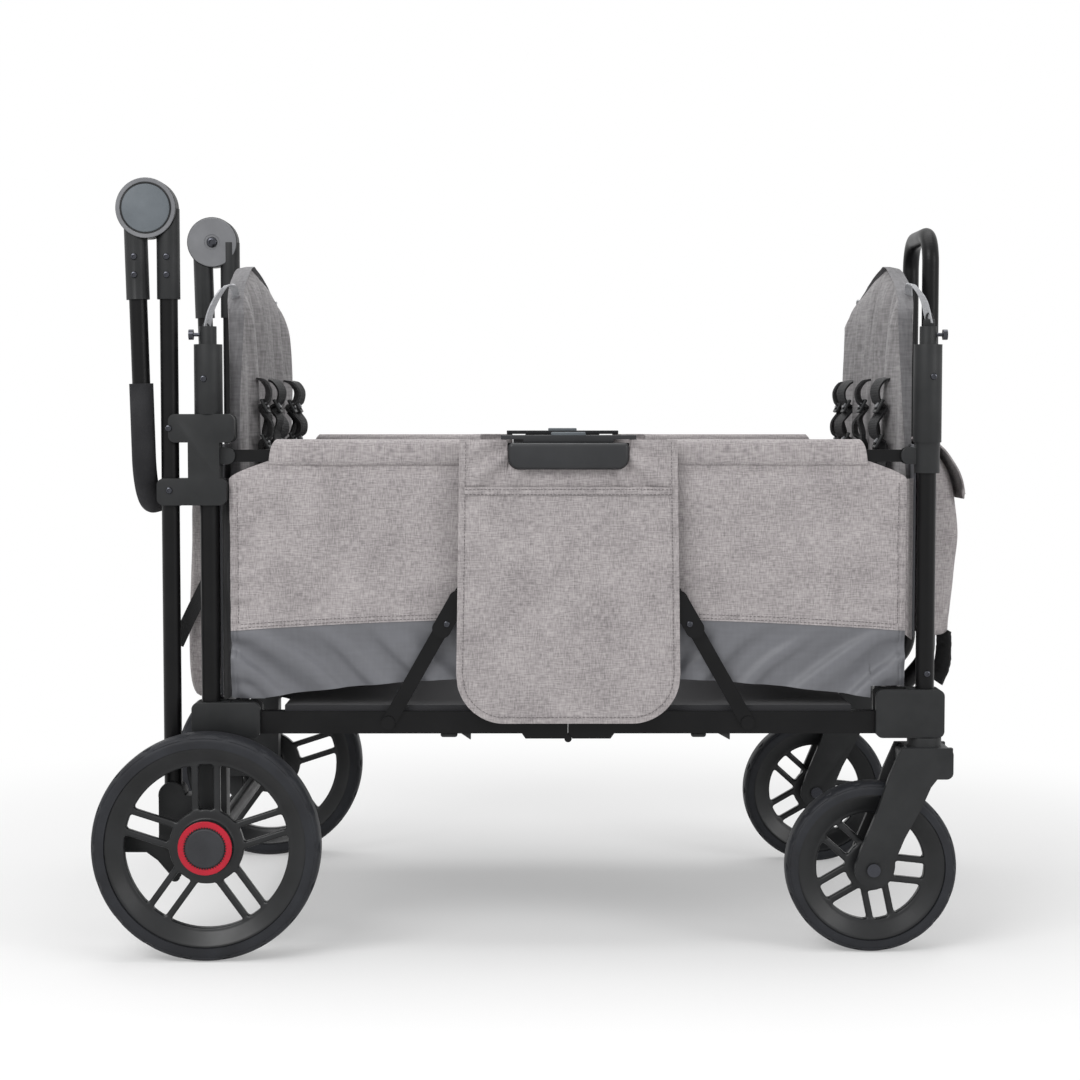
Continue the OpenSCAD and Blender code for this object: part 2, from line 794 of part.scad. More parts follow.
// A U of round tube that opens downwards: legs at half width y from z0, bent at radius bend to a bar at z1
module u_tube(r, y, bend, z0, z1) {
    leg = z1 - z0 - bend;
    translate([0, 0, z0]) {
        both_sides() {
            translate([0, y, 0]) cylinder(r = r, h = leg, $fn = tube_fn);
            translate([0, y - bend, leg]) rotate([90, 0, 90])
                rotate_extrude(angle = 90, $fn = tube_fn) translate([bend, 0]) circle(r = r, $fn = round_fn);
        }
        cross_bar(0, leg + bend, r, bend - y, y - bend);
    }
}

// Puts an upright U upside down behind the push handle's pivot
module hung_from_hinge() {
    at_hinge() leaned() translate([-arm_back, 0, 0]) mirror([0, 0, 1]) children();
}

module push_handle_tube() {
    color("#1f2022") hung_from_hinge() u_tube(handle_r, post_y, handle_bend_r, arm_seat_drop, handle_drop);
}

module handle_grip() {
    color("#232426") hung_from_hinge() difference() {
        u_tube(grip_r, post_y, handle_bend_r, grip_top_drop, handle_drop);
        u_tube(handle_r + seat_fit, post_y, handle_bend_r, arm_seat_drop, handle_drop);
    }
}

// Folding side frames

// One half of a lower rail with its share of the middle hinge: lap is -1 on the inner half, 1 on the outer
module lower_rail(lap) {
    end = half_span - soft_gap;
    low = rail_z - rail_h / 2;
    barrel_low = lap > 0 ? post_y + soft_gap : post_y - rail_w / 2;
    barrel_high = lap > 0 ? post_y + rail_w / 2 : post_y - soft_gap;
    difference() {
        union() {
            plate(post_y - rail_w / 2, post_y + rail_w / 2) {
                round_bar([corner_pivot_run, corner_z], [corner_pivot_run + rail_h, corner_z], rail_h / 2);
                translate([corner_pivot_run, low]) square([end - corner_pivot_run, rail_h]);
                polygon([[end - leaf_l, low + eps], [end - leaf_l, low],
                    [end - leaf_l + barrel_r, centre_pivot_z], [end, centre_pivot_z], [end, low + eps]]);
            }
            cross_bar(half_span, centre_pivot_z, barrel_r, barrel_low, barrel_high);
        }
        cross_bar(half_span, centre_pivot_z, barrel_r + part_gap,
            lap > 0 ? 0 : barrel_high, lap > 0 ? barrel_low : 2 * post_y);
        cross_bar(half_span, centre_pivot_z, centre_pin_r + run_fit, 0, 2 * post_y);
        cross_bar(corner_pivot_run, corner_z, pin_r + run_fit, 0, 2 * post_y);
        cross_bar(half_span - brace_foot_run, rail_z, pin_r + run_fit, 0, 2 * post_y);
    }
}

// The rear rails also carry the pins of the middle hinges
module rear_rails() {
    color("#1f2022") both_sides() {
        at_end("rear") lower_rail(1);
        cross_bar(mid_x, centre_pivot_z, centre_pin_r + run_fit, post_y, post_y + rail_w / 2);
        cross_bar(mid_x, centre_pivot_z, centre_pin_r, post_y - rail_w / 2, post_y + rail_w / 2);
    }
}

module front_rails() {
    color("#1f2022") both_sides() at_end("front") lower_rail(-1);
}

module floor_board(e) {
    color("#303236") at_end(e) translate([floor_run, -floor_half_y, rail_z + rail_h / 2])
        cube([half_span - floor_run - floor_gap, 2 * floor_half_y, floor_t]);
}

// One half of a top rail: straight bar with a lug down to its middle pivot
module top_rail() {
    end = half_span - hub_pivot_run;
    difference() {
        plate(top_rail_in_y, post_y) {
            round_bar([top_pivot_run, top_z], [end, top_z], top_rail_h / 2);
            round_bar([end, hub_pivot_z], [end, top_z], hub_lug_r);
        }
        cross_bar(top_pivot_run, top_z, pin_r + run_fit, 0, 2 * post_y);
        cross_bar(end, hub_pivot_z, hub_pin_r + run_fit, 0, 2 * post_y);
    }
}

module top_rails(e) {
    color("#1f2022") both_sides() at_end(e) top_rail();
}

// Lower brace: flat bar on its rivet in the lower rail
module lower_braces(e) {
    tip = [brace_foot_run - brace_lower_l * sin(brace_lean), rail_z + brace_lower_l * cos(brace_lean)];
    y1 = brace_lower_y + brace_t;
    color("#232427") both_sides() from_middle(e) {
        plate(brace_lower_y, y1) round_bar([brace_foot_run, rail_z], tip, brace_w / 2);
        cross_bar(brace_foot_run, rail_z, pin_r, post_y - rail_w / 2, y1);
        cross_bar(brace_foot_run, rail_z, rivet_head_r, y1, y1 + rivet_head_t);
    }
}

// Upper brace: flat bar from the side hub, with the collar that guides the lower brace
module upper_braces(e) {
    head = [brace_head_run, brace_head_z];
    lean = [sin(brace_lean), -cos(brace_lean)];
    tip = head + brace_upper_l * lean;
    heel = tip - brace_collar_l * lean;
    y1 = brace_upper_y + brace_t;
    color("#2b2c2f") both_sides() from_middle(e) difference() {
        union() {
            plate(brace_upper_y, y1) round_bar(head, tip, brace_w / 2);
            plate(brace_upper_y, y1 + brace_collar_t) round_bar(heel, tip, brace_collar_w / 2);
        }
        cross_bar(brace_head_run, brace_head_z, pin_r + run_fit, 0, 2 * post_y);
    }
}

// Side hubs: grab handle, back plate with the four pivots, and the top cap with the lock button's slot
module side_hubs() {
    body_end = hub_body_y + hub_body_t;
    web_y = hub_cap_in_y + hub_button_in + hub_button_depth + hub_web_gap;
    color("#2b2c2f") translate([mid_x, 0, 0]) both_sides() {
        difference() {
            union() {
                plate(hub_plate_y, hub_body_y)
                    round_box([-hub_plate_w / 2, hub_plate_foot_z], [hub_plate_w / 2, hub_top_z], hub_edge_r);
                plate(hub_body_y, body_end)
                    round_box([-hub_w / 2, hub_foot_z], [hub_w / 2, hub_top_z], hub_edge_r);
                plate(web_y, hub_cap_in_y + hub_cap_depth)
                    translate([-hub_plate_w / 2, hub_top_z - hub_edge_r])
                        square([hub_plate_w, hub_cap_z + hub_cap_t - hub_top_z + hub_edge_r]);
                plate(hub_cap_in_y, hub_cap_in_y + hub_cap_depth)
                    translate([-hub_cap_w / 2, hub_cap_z]) square([hub_cap_w, hub_cap_t]);
            }
            translate([-hub_button_w / 2 - part_gap, hub_cap_in_y + hub_button_in - part_gap,
                hub_button_foot_z - hub_button_travel - part_gap])
                cube([hub_button_w + 2 * part_gap, hub_button_depth + 2 * part_gap, hub_top_z]);
        }
        for (s = side_names) {
            cross_bar(s * hub_pivot_run, hub_pivot_z, hub_pin_r, top_rail_in_y, hub_body_y);
            cross_bar(s * brace_head_run, brace_head_z, pin_r, brace_upper_y, hub_body_y);
        }
    }
}

module hub_button(s) {
    color("#5d6167") translate([mid_x, 0, 0]) on_side(s)
        plate(hub_cap_in_y + hub_button_in, hub_cap_in_y + hub_button_in + hub_button_depth)
            translate([-hub_button_w / 2, hub_button_foot_z]) square([hub_button_w, hub_button_h]);
}

// Front frame

module front_posts() {
    color("#1f2022") both_sides() at_end("front") translate([0, post_y, post_foot_z])
        cylinder(r = post_r, h = post_top_z - post_foot_z, $fn = tube_fn);
}

// Front sockets: collar with the top rail's ears, and canopy socket
module front_sockets() {
    color("#2b2c2f") both_sides() at_end("front") {
        difference() {
            socket_shape(front_socket_foot_z) {
                translate([0, post_y, collar_foot_z])
                    cylinder(r = collar_r, h = front_socket_foot_z - collar_foot_z + eps, $fn = tube_fn);
                top_ears();
            }
            top_ear_slot(front_socket_foot_z);
        }
        top_ear_pin();
    }
}

// Pull handle that stands in the front pouch: an inverted U with bent feet and eyes round the low front tube
module front_handle() {
    foot_l = (front_handle_out - front_knee_r * (1 - cos(front_knee))) / sin(front_knee);
    knee_z = low_cross_z + foot_l * cos(front_knee) + front_knee_r * sin(front_knee);
    eye_y = front_handle_y - front_eye_w / 2;
    color("#1f2022") at_end("front") difference() {
        union() {
            translate([-front_handle_out, 0, 0])
                u_tube(front_handle_r, front_handle_y, front_bend_r, knee_z, front_handle_z - front_handle_r);
            both_sides() {
                translate([front_knee_r - front_handle_out, front_handle_y, knee_z]) rotate([90, 180, 0])
                    rotate_extrude(angle = front_knee, $fn = tube_fn)
                        translate([front_knee_r, 0]) circle(r = front_handle_r, $fn = round_fn);
                translate([0, front_handle_y, low_cross_z]) rotate([0, -front_knee, 0])
                    cylinder(r = front_handle_r, h = foot_l, $fn = tube_fn);
                cross_bar(0, low_cross_z, cross_d / 2 + front_eye_wall, eye_y, eye_y + front_eye_w);
            }
        }
        cross_bar(0, low_cross_z, cross_d / 2 + seat_fit, -bracket_inner_y, bracket_inner_y);
    }
}

// Soft goods

// A closed skin over a grid of points: front and back sheets of equal counts, joined around their edges
module quilt(front, back) {
    rows = len(front);
    cols = len(front[0]);
    half = rows * cols;
    points = concat([for (row = front) each row], [for (row = back) each row]);
    ring = concat(
        [for (j = [0 : cols - 2]) j],
        [for (i = [0 : rows - 2]) i * cols + cols - 1],
        [for (j = [cols - 1 : -1 : 1]) (rows - 1) * cols + j],
        [for (i = [rows - 1 : -1 : 1]) i * cols]);
    sheet = [for (i = [0 : rows - 2], j = [0 : cols - 2]) let (a = i * cols + j)
        each [[a, a + cols, a + 1], [a + 1, a + cols, a + cols + 1]]];
    sides = [for (k = [0 : len(ring) - 1]) let (a = ring[k], b = ring[(k + 1) % len(ring)])
        each [[a, b, a + half], [b, b + half, a + half]]];
    polyhedron(points, concat(sheet, [for (f = sheet) [f[0] + half, f[2] + half, f[1] + half]], sides));
}

// One upright edge of an end wall; the front wall is cut in at its lower corners
function wall_edge(e, s) = let (
    low_y = e == "front" ? wall_low_half_y : wall_half_y,
    edge = [[s * low_y, wall_foot_z], [s * low_y, wall_cut_z], [s * wall_half_y, wall_cut_z + wall_cut_lean],
        [s * wall_half_y, wall_top_z]])
    s < 0 ? edge : [for (i = [len(edge) - 1 : -1 : 0]) edge[i]];

// A seat back sewn to its end wall: arched crown, drawn-in edges and hanging folds
module seat_back(e) {
    rows = 10;
    cols = 28;
    rise = back_top_z - back_shoulder_z;
    function crest(v) = back_shoulder_z + rise * pow(1 - pow(abs(v), arch_power_share), arch_round_share);
    function height(u, v) = back_foot_z + u * (crest(v) - back_foot_z);
    function crown(u, v) = (1 - pow(v, 4)) * (1 - pow(2 * u - 1, 4));
    function fold(v) = fold_depth * cos(180 * fold_count * v) * (1 - pow(v, 4));
    function depth(u, v) = back_run + back_t * edge_share + crown(u, v) * back_t * (1 - edge_share)
        + fold(v) * sin(180 * u);
    steps_u = [for (i = [0 : rows]) i / rows];
    steps_v = [for (j = [0 : cols]) 2 * j / cols - 1];
    color("#8f8d8b") at_end(e) {
        quilt([for (u = steps_u) [for (v = steps_v) [depth(u, v), back_half_w * v, height(u, v)]]],
            [for (u = steps_u) [for (v = steps_v) [wall_run, back_half_w * v, height(u, v)]]]);
        translate([wall_run, 0, 0]) rotate([90, 0, 90]) linear_extrude(wall_t)
            polygon(concat(wall_edge(e, -1), wall_edge(e, 1)));
    }
}

// A bench pad for two: crowned top, drawn-in sides and a sewn channel down the middle
module seat_pad(e) {
    rows = 10;
    cols = 20;
    middle_z = pad_z - pad_t * pad_crown_share;
    function pull(w) = 1 - draw_share * (1 - w * w);
    function swell(u, v) = (1 - pow(u, 6)) * (1 - pow(v, 6));
    function channel(v) = 1 - channel_share * exp(-pow(v / channel_width_share, 2));
    function level(u, v, s) = middle_z + s * pad_t * (s > 0 ? pad_crown_share : 1 - pad_crown_share)
        * (edge_share + (1 - edge_share) * swell(u, v) * channel(v));
    function spot(u, v, s) =
        [pad_run + pad_l / 2 * (1 + u * pull(v)), pad_half_w * v * pull(u), level(u, v, s)];
    steps_u = [for (i = [0 : rows]) 2 * i / rows - 1];
    steps_v = [for (j = [0 : cols]) 2 * j / cols - 1];
    color("#8a8886") at_end(e)
        quilt([for (u = steps_u) [for (v = steps_v) spot(u, v, -1)]],
            [for (u = steps_u) [for (v = steps_v) spot(u, v, 1)]]);
}

// Lower edge of a side panel, rising from a corner to the middle
function panel_arc(t) = panel_corner_z + (panel_mid_z - panel_corner_z) * sin(90 * t);

// One half of a side panel's outline from its post to the middle, over a bracket of the given height
function panel_half(bracket_top) = concat(
    [[panel_notch_run, panel_top_z], [half_span - panel_step_run, panel_top_z],
        [half_span - panel_step_run + panel_step_lean, panel_step_z],
        [half_span - panel_run, panel_shoulder_z],
        [half_span - panel_run, bracket_top + panel_foot_gap],
        [half_span - panel_corner_run, bracket_top + panel_foot_gap]],
    [for (i = [0 : panel_arc_steps]) let (t = i / panel_arc_steps)
        [(half_span - panel_corner_run) * (1 - t), panel_arc(t)]]);

// A side panel with its stepped top corners and the flap that hangs over the braces
module side_panel(s) {
    notch = hub_w / 2 + flap_notch_gap;
    cap = hub_cap_w / 2 + flap_notch_gap;
    foot_w = flap_w / 2 + flap_flare;
    notch_edge = [[0, panel_notch_z], [panel_notch_run, panel_notch_z]];
    y1 = panel_in_y + panel_t;
    color("#9a9794") translate([mid_x, 0, 0]) on_side(s) {
        plate(panel_in_y, y1) {
            polygon(concat(panel_half(front_bracket_top_z), notch_edge));
            mirror([1, 0]) polygon(concat(panel_half(rear_bracket_top_z), notch_edge));
        }
        plate(flap_in_y, flap_in_y + flap_t) difference() {
            union() {
                polygon([[-flap_w / 2, panel_top_z], [flap_w / 2, panel_top_z],
                    [foot_w, flap_foot_z + flap_corner_r], [-foot_w, flap_foot_z + flap_corner_r]]);
                for (k = side_names) translate([k * (foot_w - flap_corner_r), flap_foot_z + flap_corner_r])
                    circle(r = flap_corner_r, $fn = tube_fn);
                translate([flap_corner_r - foot_w, flap_foot_z])
                    square([2 * (foot_w - flap_corner_r), flap_corner_r + eps]);
            }
            translate([-notch, hub_foot_z - flap_notch_gap]) square([2 * notch, panel_top_z]);
        }
        for (k = side_names) plate(y1 - eps, flap_in_y + eps)
            translate([k > 0 ? cap : -flap_w / 2, panel_top_z - flap_bridge_h])
                square([flap_w / 2 - cap, flap_bridge_h]);
    }
}

// The storage pouch on the front end: drawn in under its flap, and sleeved for the handle's legs
module front_pouch() {
    rows = 10;
    cols = 18;
    inner = cross_d / 2 + soft_gap;
    function belly(u) = u < 0.5 ? 1 - pouch_foot_share * pow(1 - 2 * u, 2)
        : 1 - pouch_top_share * pow(2 * u - 1, 3);
    function side(v) = 1 - pouch_side_share * pow(v, 6);
    function bulge(u, v) = inner + (pouch_reach - inner) * belly(u) * side(v);
    function spot(u, v, d) = [-d, pouch_half_w * v * (1 - draw_share * (1 - pow(2 * u - 1, 2))),
        pouch_foot_z + u * (pouch_top_z - pouch_foot_z)];
    steps_u = [for (i = [0 : rows]) i / rows];
    steps_v = [for (j = [0 : cols]) 2 * j / cols - 1];
    color("#8f8d8b") at_end("front") difference() {
        quilt([for (u = steps_u) [for (v = steps_v) spot(u, v, inner)]],
            [for (u = steps_u) [for (v = steps_v) spot(u, v, bulge(u, v))]]);
        both_sides() translate([-front_handle_out, front_handle_y, pouch_foot_z - eps])
            cylinder(r = front_handle_r + soft_gap, h = pouch_top_z - pouch_foot_z + 2 * eps, $fn = tube_fn);
    }
}

// The slack pocket on the rear end, with upright folds between the posts and the push handle's uprights
module rear_pocket() {
    rows = 8;
    cols = 24;
    inner = cross_d / 2 + soft_gap;
    function belly(u) = 1 - pocket_end_share * pow(2 * u - 1, 4);
    function side(v) = 1 - pocket_side_share * pow(v, 8);
    function fold(v) = fold_depth * cos(180 * fold_count * v) * (1 - pow(v, 4));
    function bulge(u, v) = inner + (pocket_reach - inner) * belly(u) * side(v) - fold(v) * sin(180 * u);
    function spot(v, u, d) = [-d, pocket_half_w * v, pocket_foot_z + u * (pocket_top_z - pocket_foot_z)];
    steps_u = [for (i = [0 : rows]) i / rows];
    steps_v = [for (j = [0 : cols]) 2 * j / cols - 1];
    color("#8f8d8b") at_end("rear")
        quilt([for (u = steps_u) [for (v = steps_v) spot(v, u, inner)]],
            [for (u = steps_u) [for (v = steps_v) spot(v, u, bulge(u, v))]]);
}

rear_axle();
rear_posts();
handle_posts();
rear_knuckles();
rear_brackets();
handle_clamps();
rear_sockets();
crossbars("rear");  // rear_crossbars
hinge_bases();
seat_back("rear");  // rear_seat_back
seat_pad("rear");  // rear_seat_pad
side_panel(-1);  // side_panel_right
side_panel(1);  // side_panel_left
pull_pin("rear", -1);  // pull_pin_rear_right
pull_pin("rear", 1);  // pull_pin_rear_left
pull_pin("front", -1);  // pull_pin_front_right
pull_pin("front", 1);  // pull_pin_front_left
push_handle_tube();
handle_grip();
hinge_arms();
hinge_button(-1);  // hinge_button_right
hinge_button(1);  // hinge_button_left
rear_tyre(-1);  // rear_tyre_right
rear_rim(-1);  // rear_rim_right
rear_hub_ring(-1);  // rear_hub_ring_right
rear_hub_cap(-1);  // rear_hub_cap_right
rear_tyre(1);  // rear_tyre_left
rear_rim(1);  // rear_rim_left
rear_hub_ring(1);  // rear_hub_ring_left
rear_hub_cap(1);  // rear_hub_cap_left
caster_fork(-1);  // caster_fork_right
caster_bolt(-1);  // caster_bolt_right
front_tyre(-1);  // front_tyre_right
front_rim(-1);  // front_rim_right
caster_fork(1);  // caster_fork_left
caster_bolt(1);  // caster_bolt_left
front_tyre(1);  // front_tyre_left
front_rim(1);  // front_rim_left
rear_rails();
floor_board("rear");  // rear_floor
front_rails();
floor_board("front");  // front_floor
top_rails("rear");  // rear_top_rails
top_rails("front");  // front_top_rails
side_hubs();
hub_button(-1);  // hub_button_right
hub_button(1);  // hub_button_left
lower_braces("rear");  // rear_lower_braces
lower_braces("front");  // front_lower_braces
upper_braces("rear");  // rear_upper_braces
upper_braces("front");  // front_upper_braces
front_posts();
front_brackets();
front_sockets();
front_handle();
crossbars("front");  // front_crossbars
seat_back("front");  // front_seat_back
seat_pad("front");  // front_seat_pad
front_pouch();
rear_pocket();
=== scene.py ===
"""Dresses the stroller wagon's CAD frame with fabric, webbing, finishes, light and a camera."""
import contextlib
import json
import math

import bmesh
import bpy
from mathutils import Matrix, Vector, noise
from mathutils.bvhtree import BVHTree

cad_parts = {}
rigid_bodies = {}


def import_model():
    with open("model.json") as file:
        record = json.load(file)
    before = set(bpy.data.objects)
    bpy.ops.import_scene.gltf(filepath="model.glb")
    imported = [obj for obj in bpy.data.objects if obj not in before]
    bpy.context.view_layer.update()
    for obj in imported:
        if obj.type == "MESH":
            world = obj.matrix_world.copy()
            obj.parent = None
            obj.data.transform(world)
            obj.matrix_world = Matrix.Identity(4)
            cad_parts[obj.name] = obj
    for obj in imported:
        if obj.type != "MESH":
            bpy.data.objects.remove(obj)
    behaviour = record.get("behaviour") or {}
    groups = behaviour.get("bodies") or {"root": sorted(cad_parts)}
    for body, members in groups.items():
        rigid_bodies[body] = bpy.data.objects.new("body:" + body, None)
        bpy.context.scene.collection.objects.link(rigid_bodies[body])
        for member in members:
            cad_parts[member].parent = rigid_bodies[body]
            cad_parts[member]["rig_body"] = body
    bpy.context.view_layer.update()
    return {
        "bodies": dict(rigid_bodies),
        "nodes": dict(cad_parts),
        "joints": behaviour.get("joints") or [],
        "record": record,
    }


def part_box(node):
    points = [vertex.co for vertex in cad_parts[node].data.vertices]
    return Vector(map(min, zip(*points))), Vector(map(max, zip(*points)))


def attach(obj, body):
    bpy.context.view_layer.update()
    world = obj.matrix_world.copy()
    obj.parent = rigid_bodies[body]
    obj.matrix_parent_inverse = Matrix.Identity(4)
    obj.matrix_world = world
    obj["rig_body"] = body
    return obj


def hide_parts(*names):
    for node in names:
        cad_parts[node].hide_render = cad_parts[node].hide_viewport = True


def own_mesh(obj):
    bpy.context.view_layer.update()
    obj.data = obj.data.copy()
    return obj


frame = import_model()

# Places taken from the frame, in metres

SIDES = {"right": -1, "left": 1}
ENDS = {"rear": 1, "front": -1}
CORNERS = [(end, side) for end in ENDS for side in SIDES]
UP = Vector((0, 0, 1))


def centre(node):
    """The middle of a CAD node's box."""
    low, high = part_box(node)
    return (low + high) / 2


POST_X = {"rear": centre("rear_posts").x, "front": centre("front_posts").x}
MID_X = (POST_X["rear"] + POST_X["front"]) / 2
HALF_SPAN = (POST_X["front"] - POST_X["rear"]) / 2


def inside(end, run, y, z):
    """The point at a distance run from an end's posts towards the wagon's middle."""
    return Vector((POST_X[end] + ENDS[end] * run, y, z))


def pair(part):
    """The names of a part's right and left node."""
    return [part + "_" + side for side in SIDES]


def basic_shape(add, **settings):
    """One of the ready shapes, selected alone."""
    bpy.ops.object.select_all(action="DESELECT")
    add(**settings)
    return bpy.context.object


# Camera, floor and light

CAMERA_PLACE = (-0.000565, -3.258534, 0.733390)
CAMERA_TILT = 3.398
CAMERA_YAW = 0.136
CAMERA_LENS = 73.408
SENSOR = 36.0

bpy.ops.object.camera_add(
    location=CAMERA_PLACE,
    rotation=(math.radians(90 - CAMERA_TILT), 0, -math.radians(CAMERA_YAW)),
)
camera = bpy.context.object
camera.data.sensor_width = SENSOR
camera.data.lens = CAMERA_LENS
bpy.context.scene.camera = camera
bpy.context.scene.view_settings.view_transform = "Standard"


def lamp(name, place, aim, width, depth, power):
    """A soft box that stands at place and faces aim."""
    bpy.ops.object.light_add(type="AREA", location=place)
    box = bpy.context.object
    box.name = name
    box.data.shape = "RECTANGLE"
    box.data.size = width
    box.data.size_y = depth
    box.data.energy = power
    box.rotation_euler = (Vector(aim) - Vector(place)).to_track_quat("-Z", "Y").to_euler()


# Each soft box's place, the point that it faces, its width and depth in metres, and its power in watts
LAMPS = {
    "key_softbox": ((-1.6, -2.6, 2.7), (0, 0, 0.5), 2.0, 1.4, 60),
    "fill_softbox": ((2.6, -2.2, 1.6), (0, 0, 0.5), 1.2, 1.2, 24),
    "top_softbox": ((0, 0.2, 3.2), (0, 0, 0.4), 3.0, 2.4, 52),
}
for name, settings in LAMPS.items():
    lamp(name, *settings)


def linear(hex_colour):
    """Turns an sRGB hex colour into the linear one that a shader takes."""
    channels = [int(hex_colour[i:i + 2], 16) / 255 for i in (0, 2, 4)]
    return [c / 12.92 if c <= 0.04045 else ((c + 0.055) / 1.055) ** 2.4 for c in channels] + [1.0]


def add_node(tree, kind, links=None, **settings):
    """Adds one shader node. links gives its inputs, as values or as other nodes' sockets."""
    node = tree.nodes.new("ShaderNode" + kind)
    for name, value in settings.items():
        setattr(node, name, value)
    for name, value in (links or {}).items():
        if isinstance(value, bpy.types.NodeSocket):
            tree.links.new(value, node.inputs[name])
        else:
            node.inputs[name].default_value = value
    return node


FLOOR_SIZE = 40
FLOOR_GLOW = 0.33
FLOOR_SHADE_R = 0.85
FLOOR_WHITE_R = 1.7
ROOM_LIGHT = 0.44


def seen_rays(tree):
    """1 where a surface is seen, mirrored or looked at through glass, and 0 where it only gives light."""
    path = add_node(tree, "LightPath").outputs
    seen = add_node(tree, "Math", {0: path["Is Camera Ray"], 1: path["Is Glossy Ray"]}, operation="MAXIMUM")
    seen = add_node(tree, "Math", {0: seen.outputs[0], 1: path["Is Transmission Ray"]}, operation="MAXIMUM")
    return seen.outputs[0]


# The world is white where it is seen or mirrored, and a plain soft light elsewhere
world = bpy.data.worlds.new("studio")
bpy.context.scene.world = world
world.use_nodes = True
tree = world.node_tree
strength = add_node(tree, "MapRange", {"Value": seen_rays(tree), "To Min": ROOM_LIGHT, "To Max": 1.0})
tree.links.new(strength.outputs["Result"], tree.nodes["Background"].inputs["Strength"])
tree.nodes["Background"].inputs["Color"].default_value = linear("ffffff")

# The floor is white paper that keeps the wagon's shadow and fades into the white room
paper = bpy.data.materials.new("white_paper_floor")
paper.use_nodes = True
tree = paper.node_tree
place = add_node(tree, "TexCoord").outputs["Object"]
reach = add_node(tree, "VectorMath", {0: place}, operation="LENGTH")
fade = add_node(tree, "MapRange", {
    "Value": reach.outputs["Value"], "From Min": FLOOR_SHADE_R, "From Max": FLOOR_WHITE_R,
    "To Min": FLOOR_GLOW, "To Max": 1.0}, interpolation_type="SMOOTHSTEP")
share = add_node(tree, "Math", {0: seen_rays(tree), 1: fade.outputs["Result"]}, operation="MULTIPLY")
matt = add_node(tree, "BsdfDiffuse", {"Color": linear("f4f4f4")})
glow = add_node(tree, "Emission", {"Color": linear("ffffff"), "Strength": 1.0})
paper_mix = add_node(tree, "MixShader", {0: share.outputs[0], 1: matt.outputs[0], 2: glow.outputs[0]})
tree.links.new(paper_mix.outputs[0], tree.nodes["Material Output"].inputs["Surface"])

floor = basic_shape(bpy.ops.mesh.primitive_plane_add, size=FLOOR_SIZE)
floor.name = "studio_floor"
floor.data.materials.append(paper)

# Finishes

# Patches of wear per metre across and along a cloth, and on a moulded piece
STAIN = (17, 17, 1)
TOUCH = 22.0
TOUCH_GLOSS = 0.08
SCRATCH_PITCH = 0.001
SCRATCH_GLOSS = 0.12


def start_finish(name, slot, colour, roughness, **sockets):
    """A new material on the record's slot, with its shader's own values set."""
    made = bpy.data.materials.new(name)
    made.use_nodes = True
    shader = made.node_tree.nodes["Principled BSDF"]
    shader.inputs["Base Color"].default_value = linear(colour)
    shader.inputs["Roughness"].default_value = roughness
    for socket, value in sockets.items():
        shader.inputs[socket.replace("_", " ")].default_value = value
    made.diffuse_color = linear(colour)
    return made, made.node_tree, shader


def woven_cloth(name, slot, dark, light, contrast, thread, fleck, roughness, bump, stain_and_shade=STAIN):
    """Woven polyester: crossed flecks of two yarn shades, wide faint stains of wear (on the brushed cloths,
    upright streaks of painted shade) and the threads' relief.
    """
    made, tree, shader = start_finish(
        name, slot, light, roughness, IOR=1.4, Sheen_Weight=0.08, Sheen_Roughness=0.5)
    uv = add_node(tree, "UVMap", uv_map="UVMap").outputs["UV"]
    # A fleck lies along its own yarn and is about six times as long as it is wide
    flecks = []
    for scale in ((6 / fleck, 1 / fleck, 1), (0.8 / fleck, 6 / fleck, 1)):
        lay = add_node(tree, "Mapping", {"Vector": uv, "Scale": scale})
        flecks.append(add_node(tree, "TexNoise", {"Vector": lay.outputs[0], "Scale": 1.0, "Detail": 2.0}))
    yarn = add_node(tree, "Math", {0: flecks[0].outputs["Fac"], 1: flecks[1].outputs["Fac"]}, operation="ADD")
    # Wide patches: stains of wear, and on the brushed cloths upright streaks of painted shade for their folds
    lay = add_node(tree, "Mapping", {"Vector": uv, "Scale": stain_and_shade})
    wear_and_shade = add_node(tree, "TexNoise", {"Vector": lay.outputs[0], "Scale": 1.0, "Detail": 3.0})
    yarn = add_node(tree, "Math", {
        0: wear_and_shade.outputs["Fac"], 1: contrast * 1.6, 2: yarn.outputs[0]}, operation="MULTIPLY_ADD")
    shade = add_node(tree, "MapRange", {
        "Value": yarn.outputs[0], "From Min": 1 - 0.3 * contrast, "From Max": 1 + 1.9 * contrast})
    colour = add_node(tree, "MixRGB", {
        "Fac": shade.outputs["Result"], "Color1": linear(dark), "Color2": linear(light)})
    tree.links.new(colour.outputs["Color"], shader.inputs["Base Color"])
    # A wave's band repeats every pi / 10 of its scale
    threads = [
        add_node(tree, "TexWave", {"Vector": uv, "Scale": math.pi / 10 / thread}, bands_direction=way)
        for way in ("X", "Y")
    ]
    weave = add_node(tree, "Math", {
        0: threads[0].outputs["Fac"], 1: threads[1].outputs["Fac"]}, operation="MULTIPLY")
    relief = add_node(tree, "Bump", {"Height": weave.outputs[0], "Strength": bump, "Distance": thread / 3})
    tree.links.new(relief.outputs["Normal"], shader.inputs["Normal"])
    return made


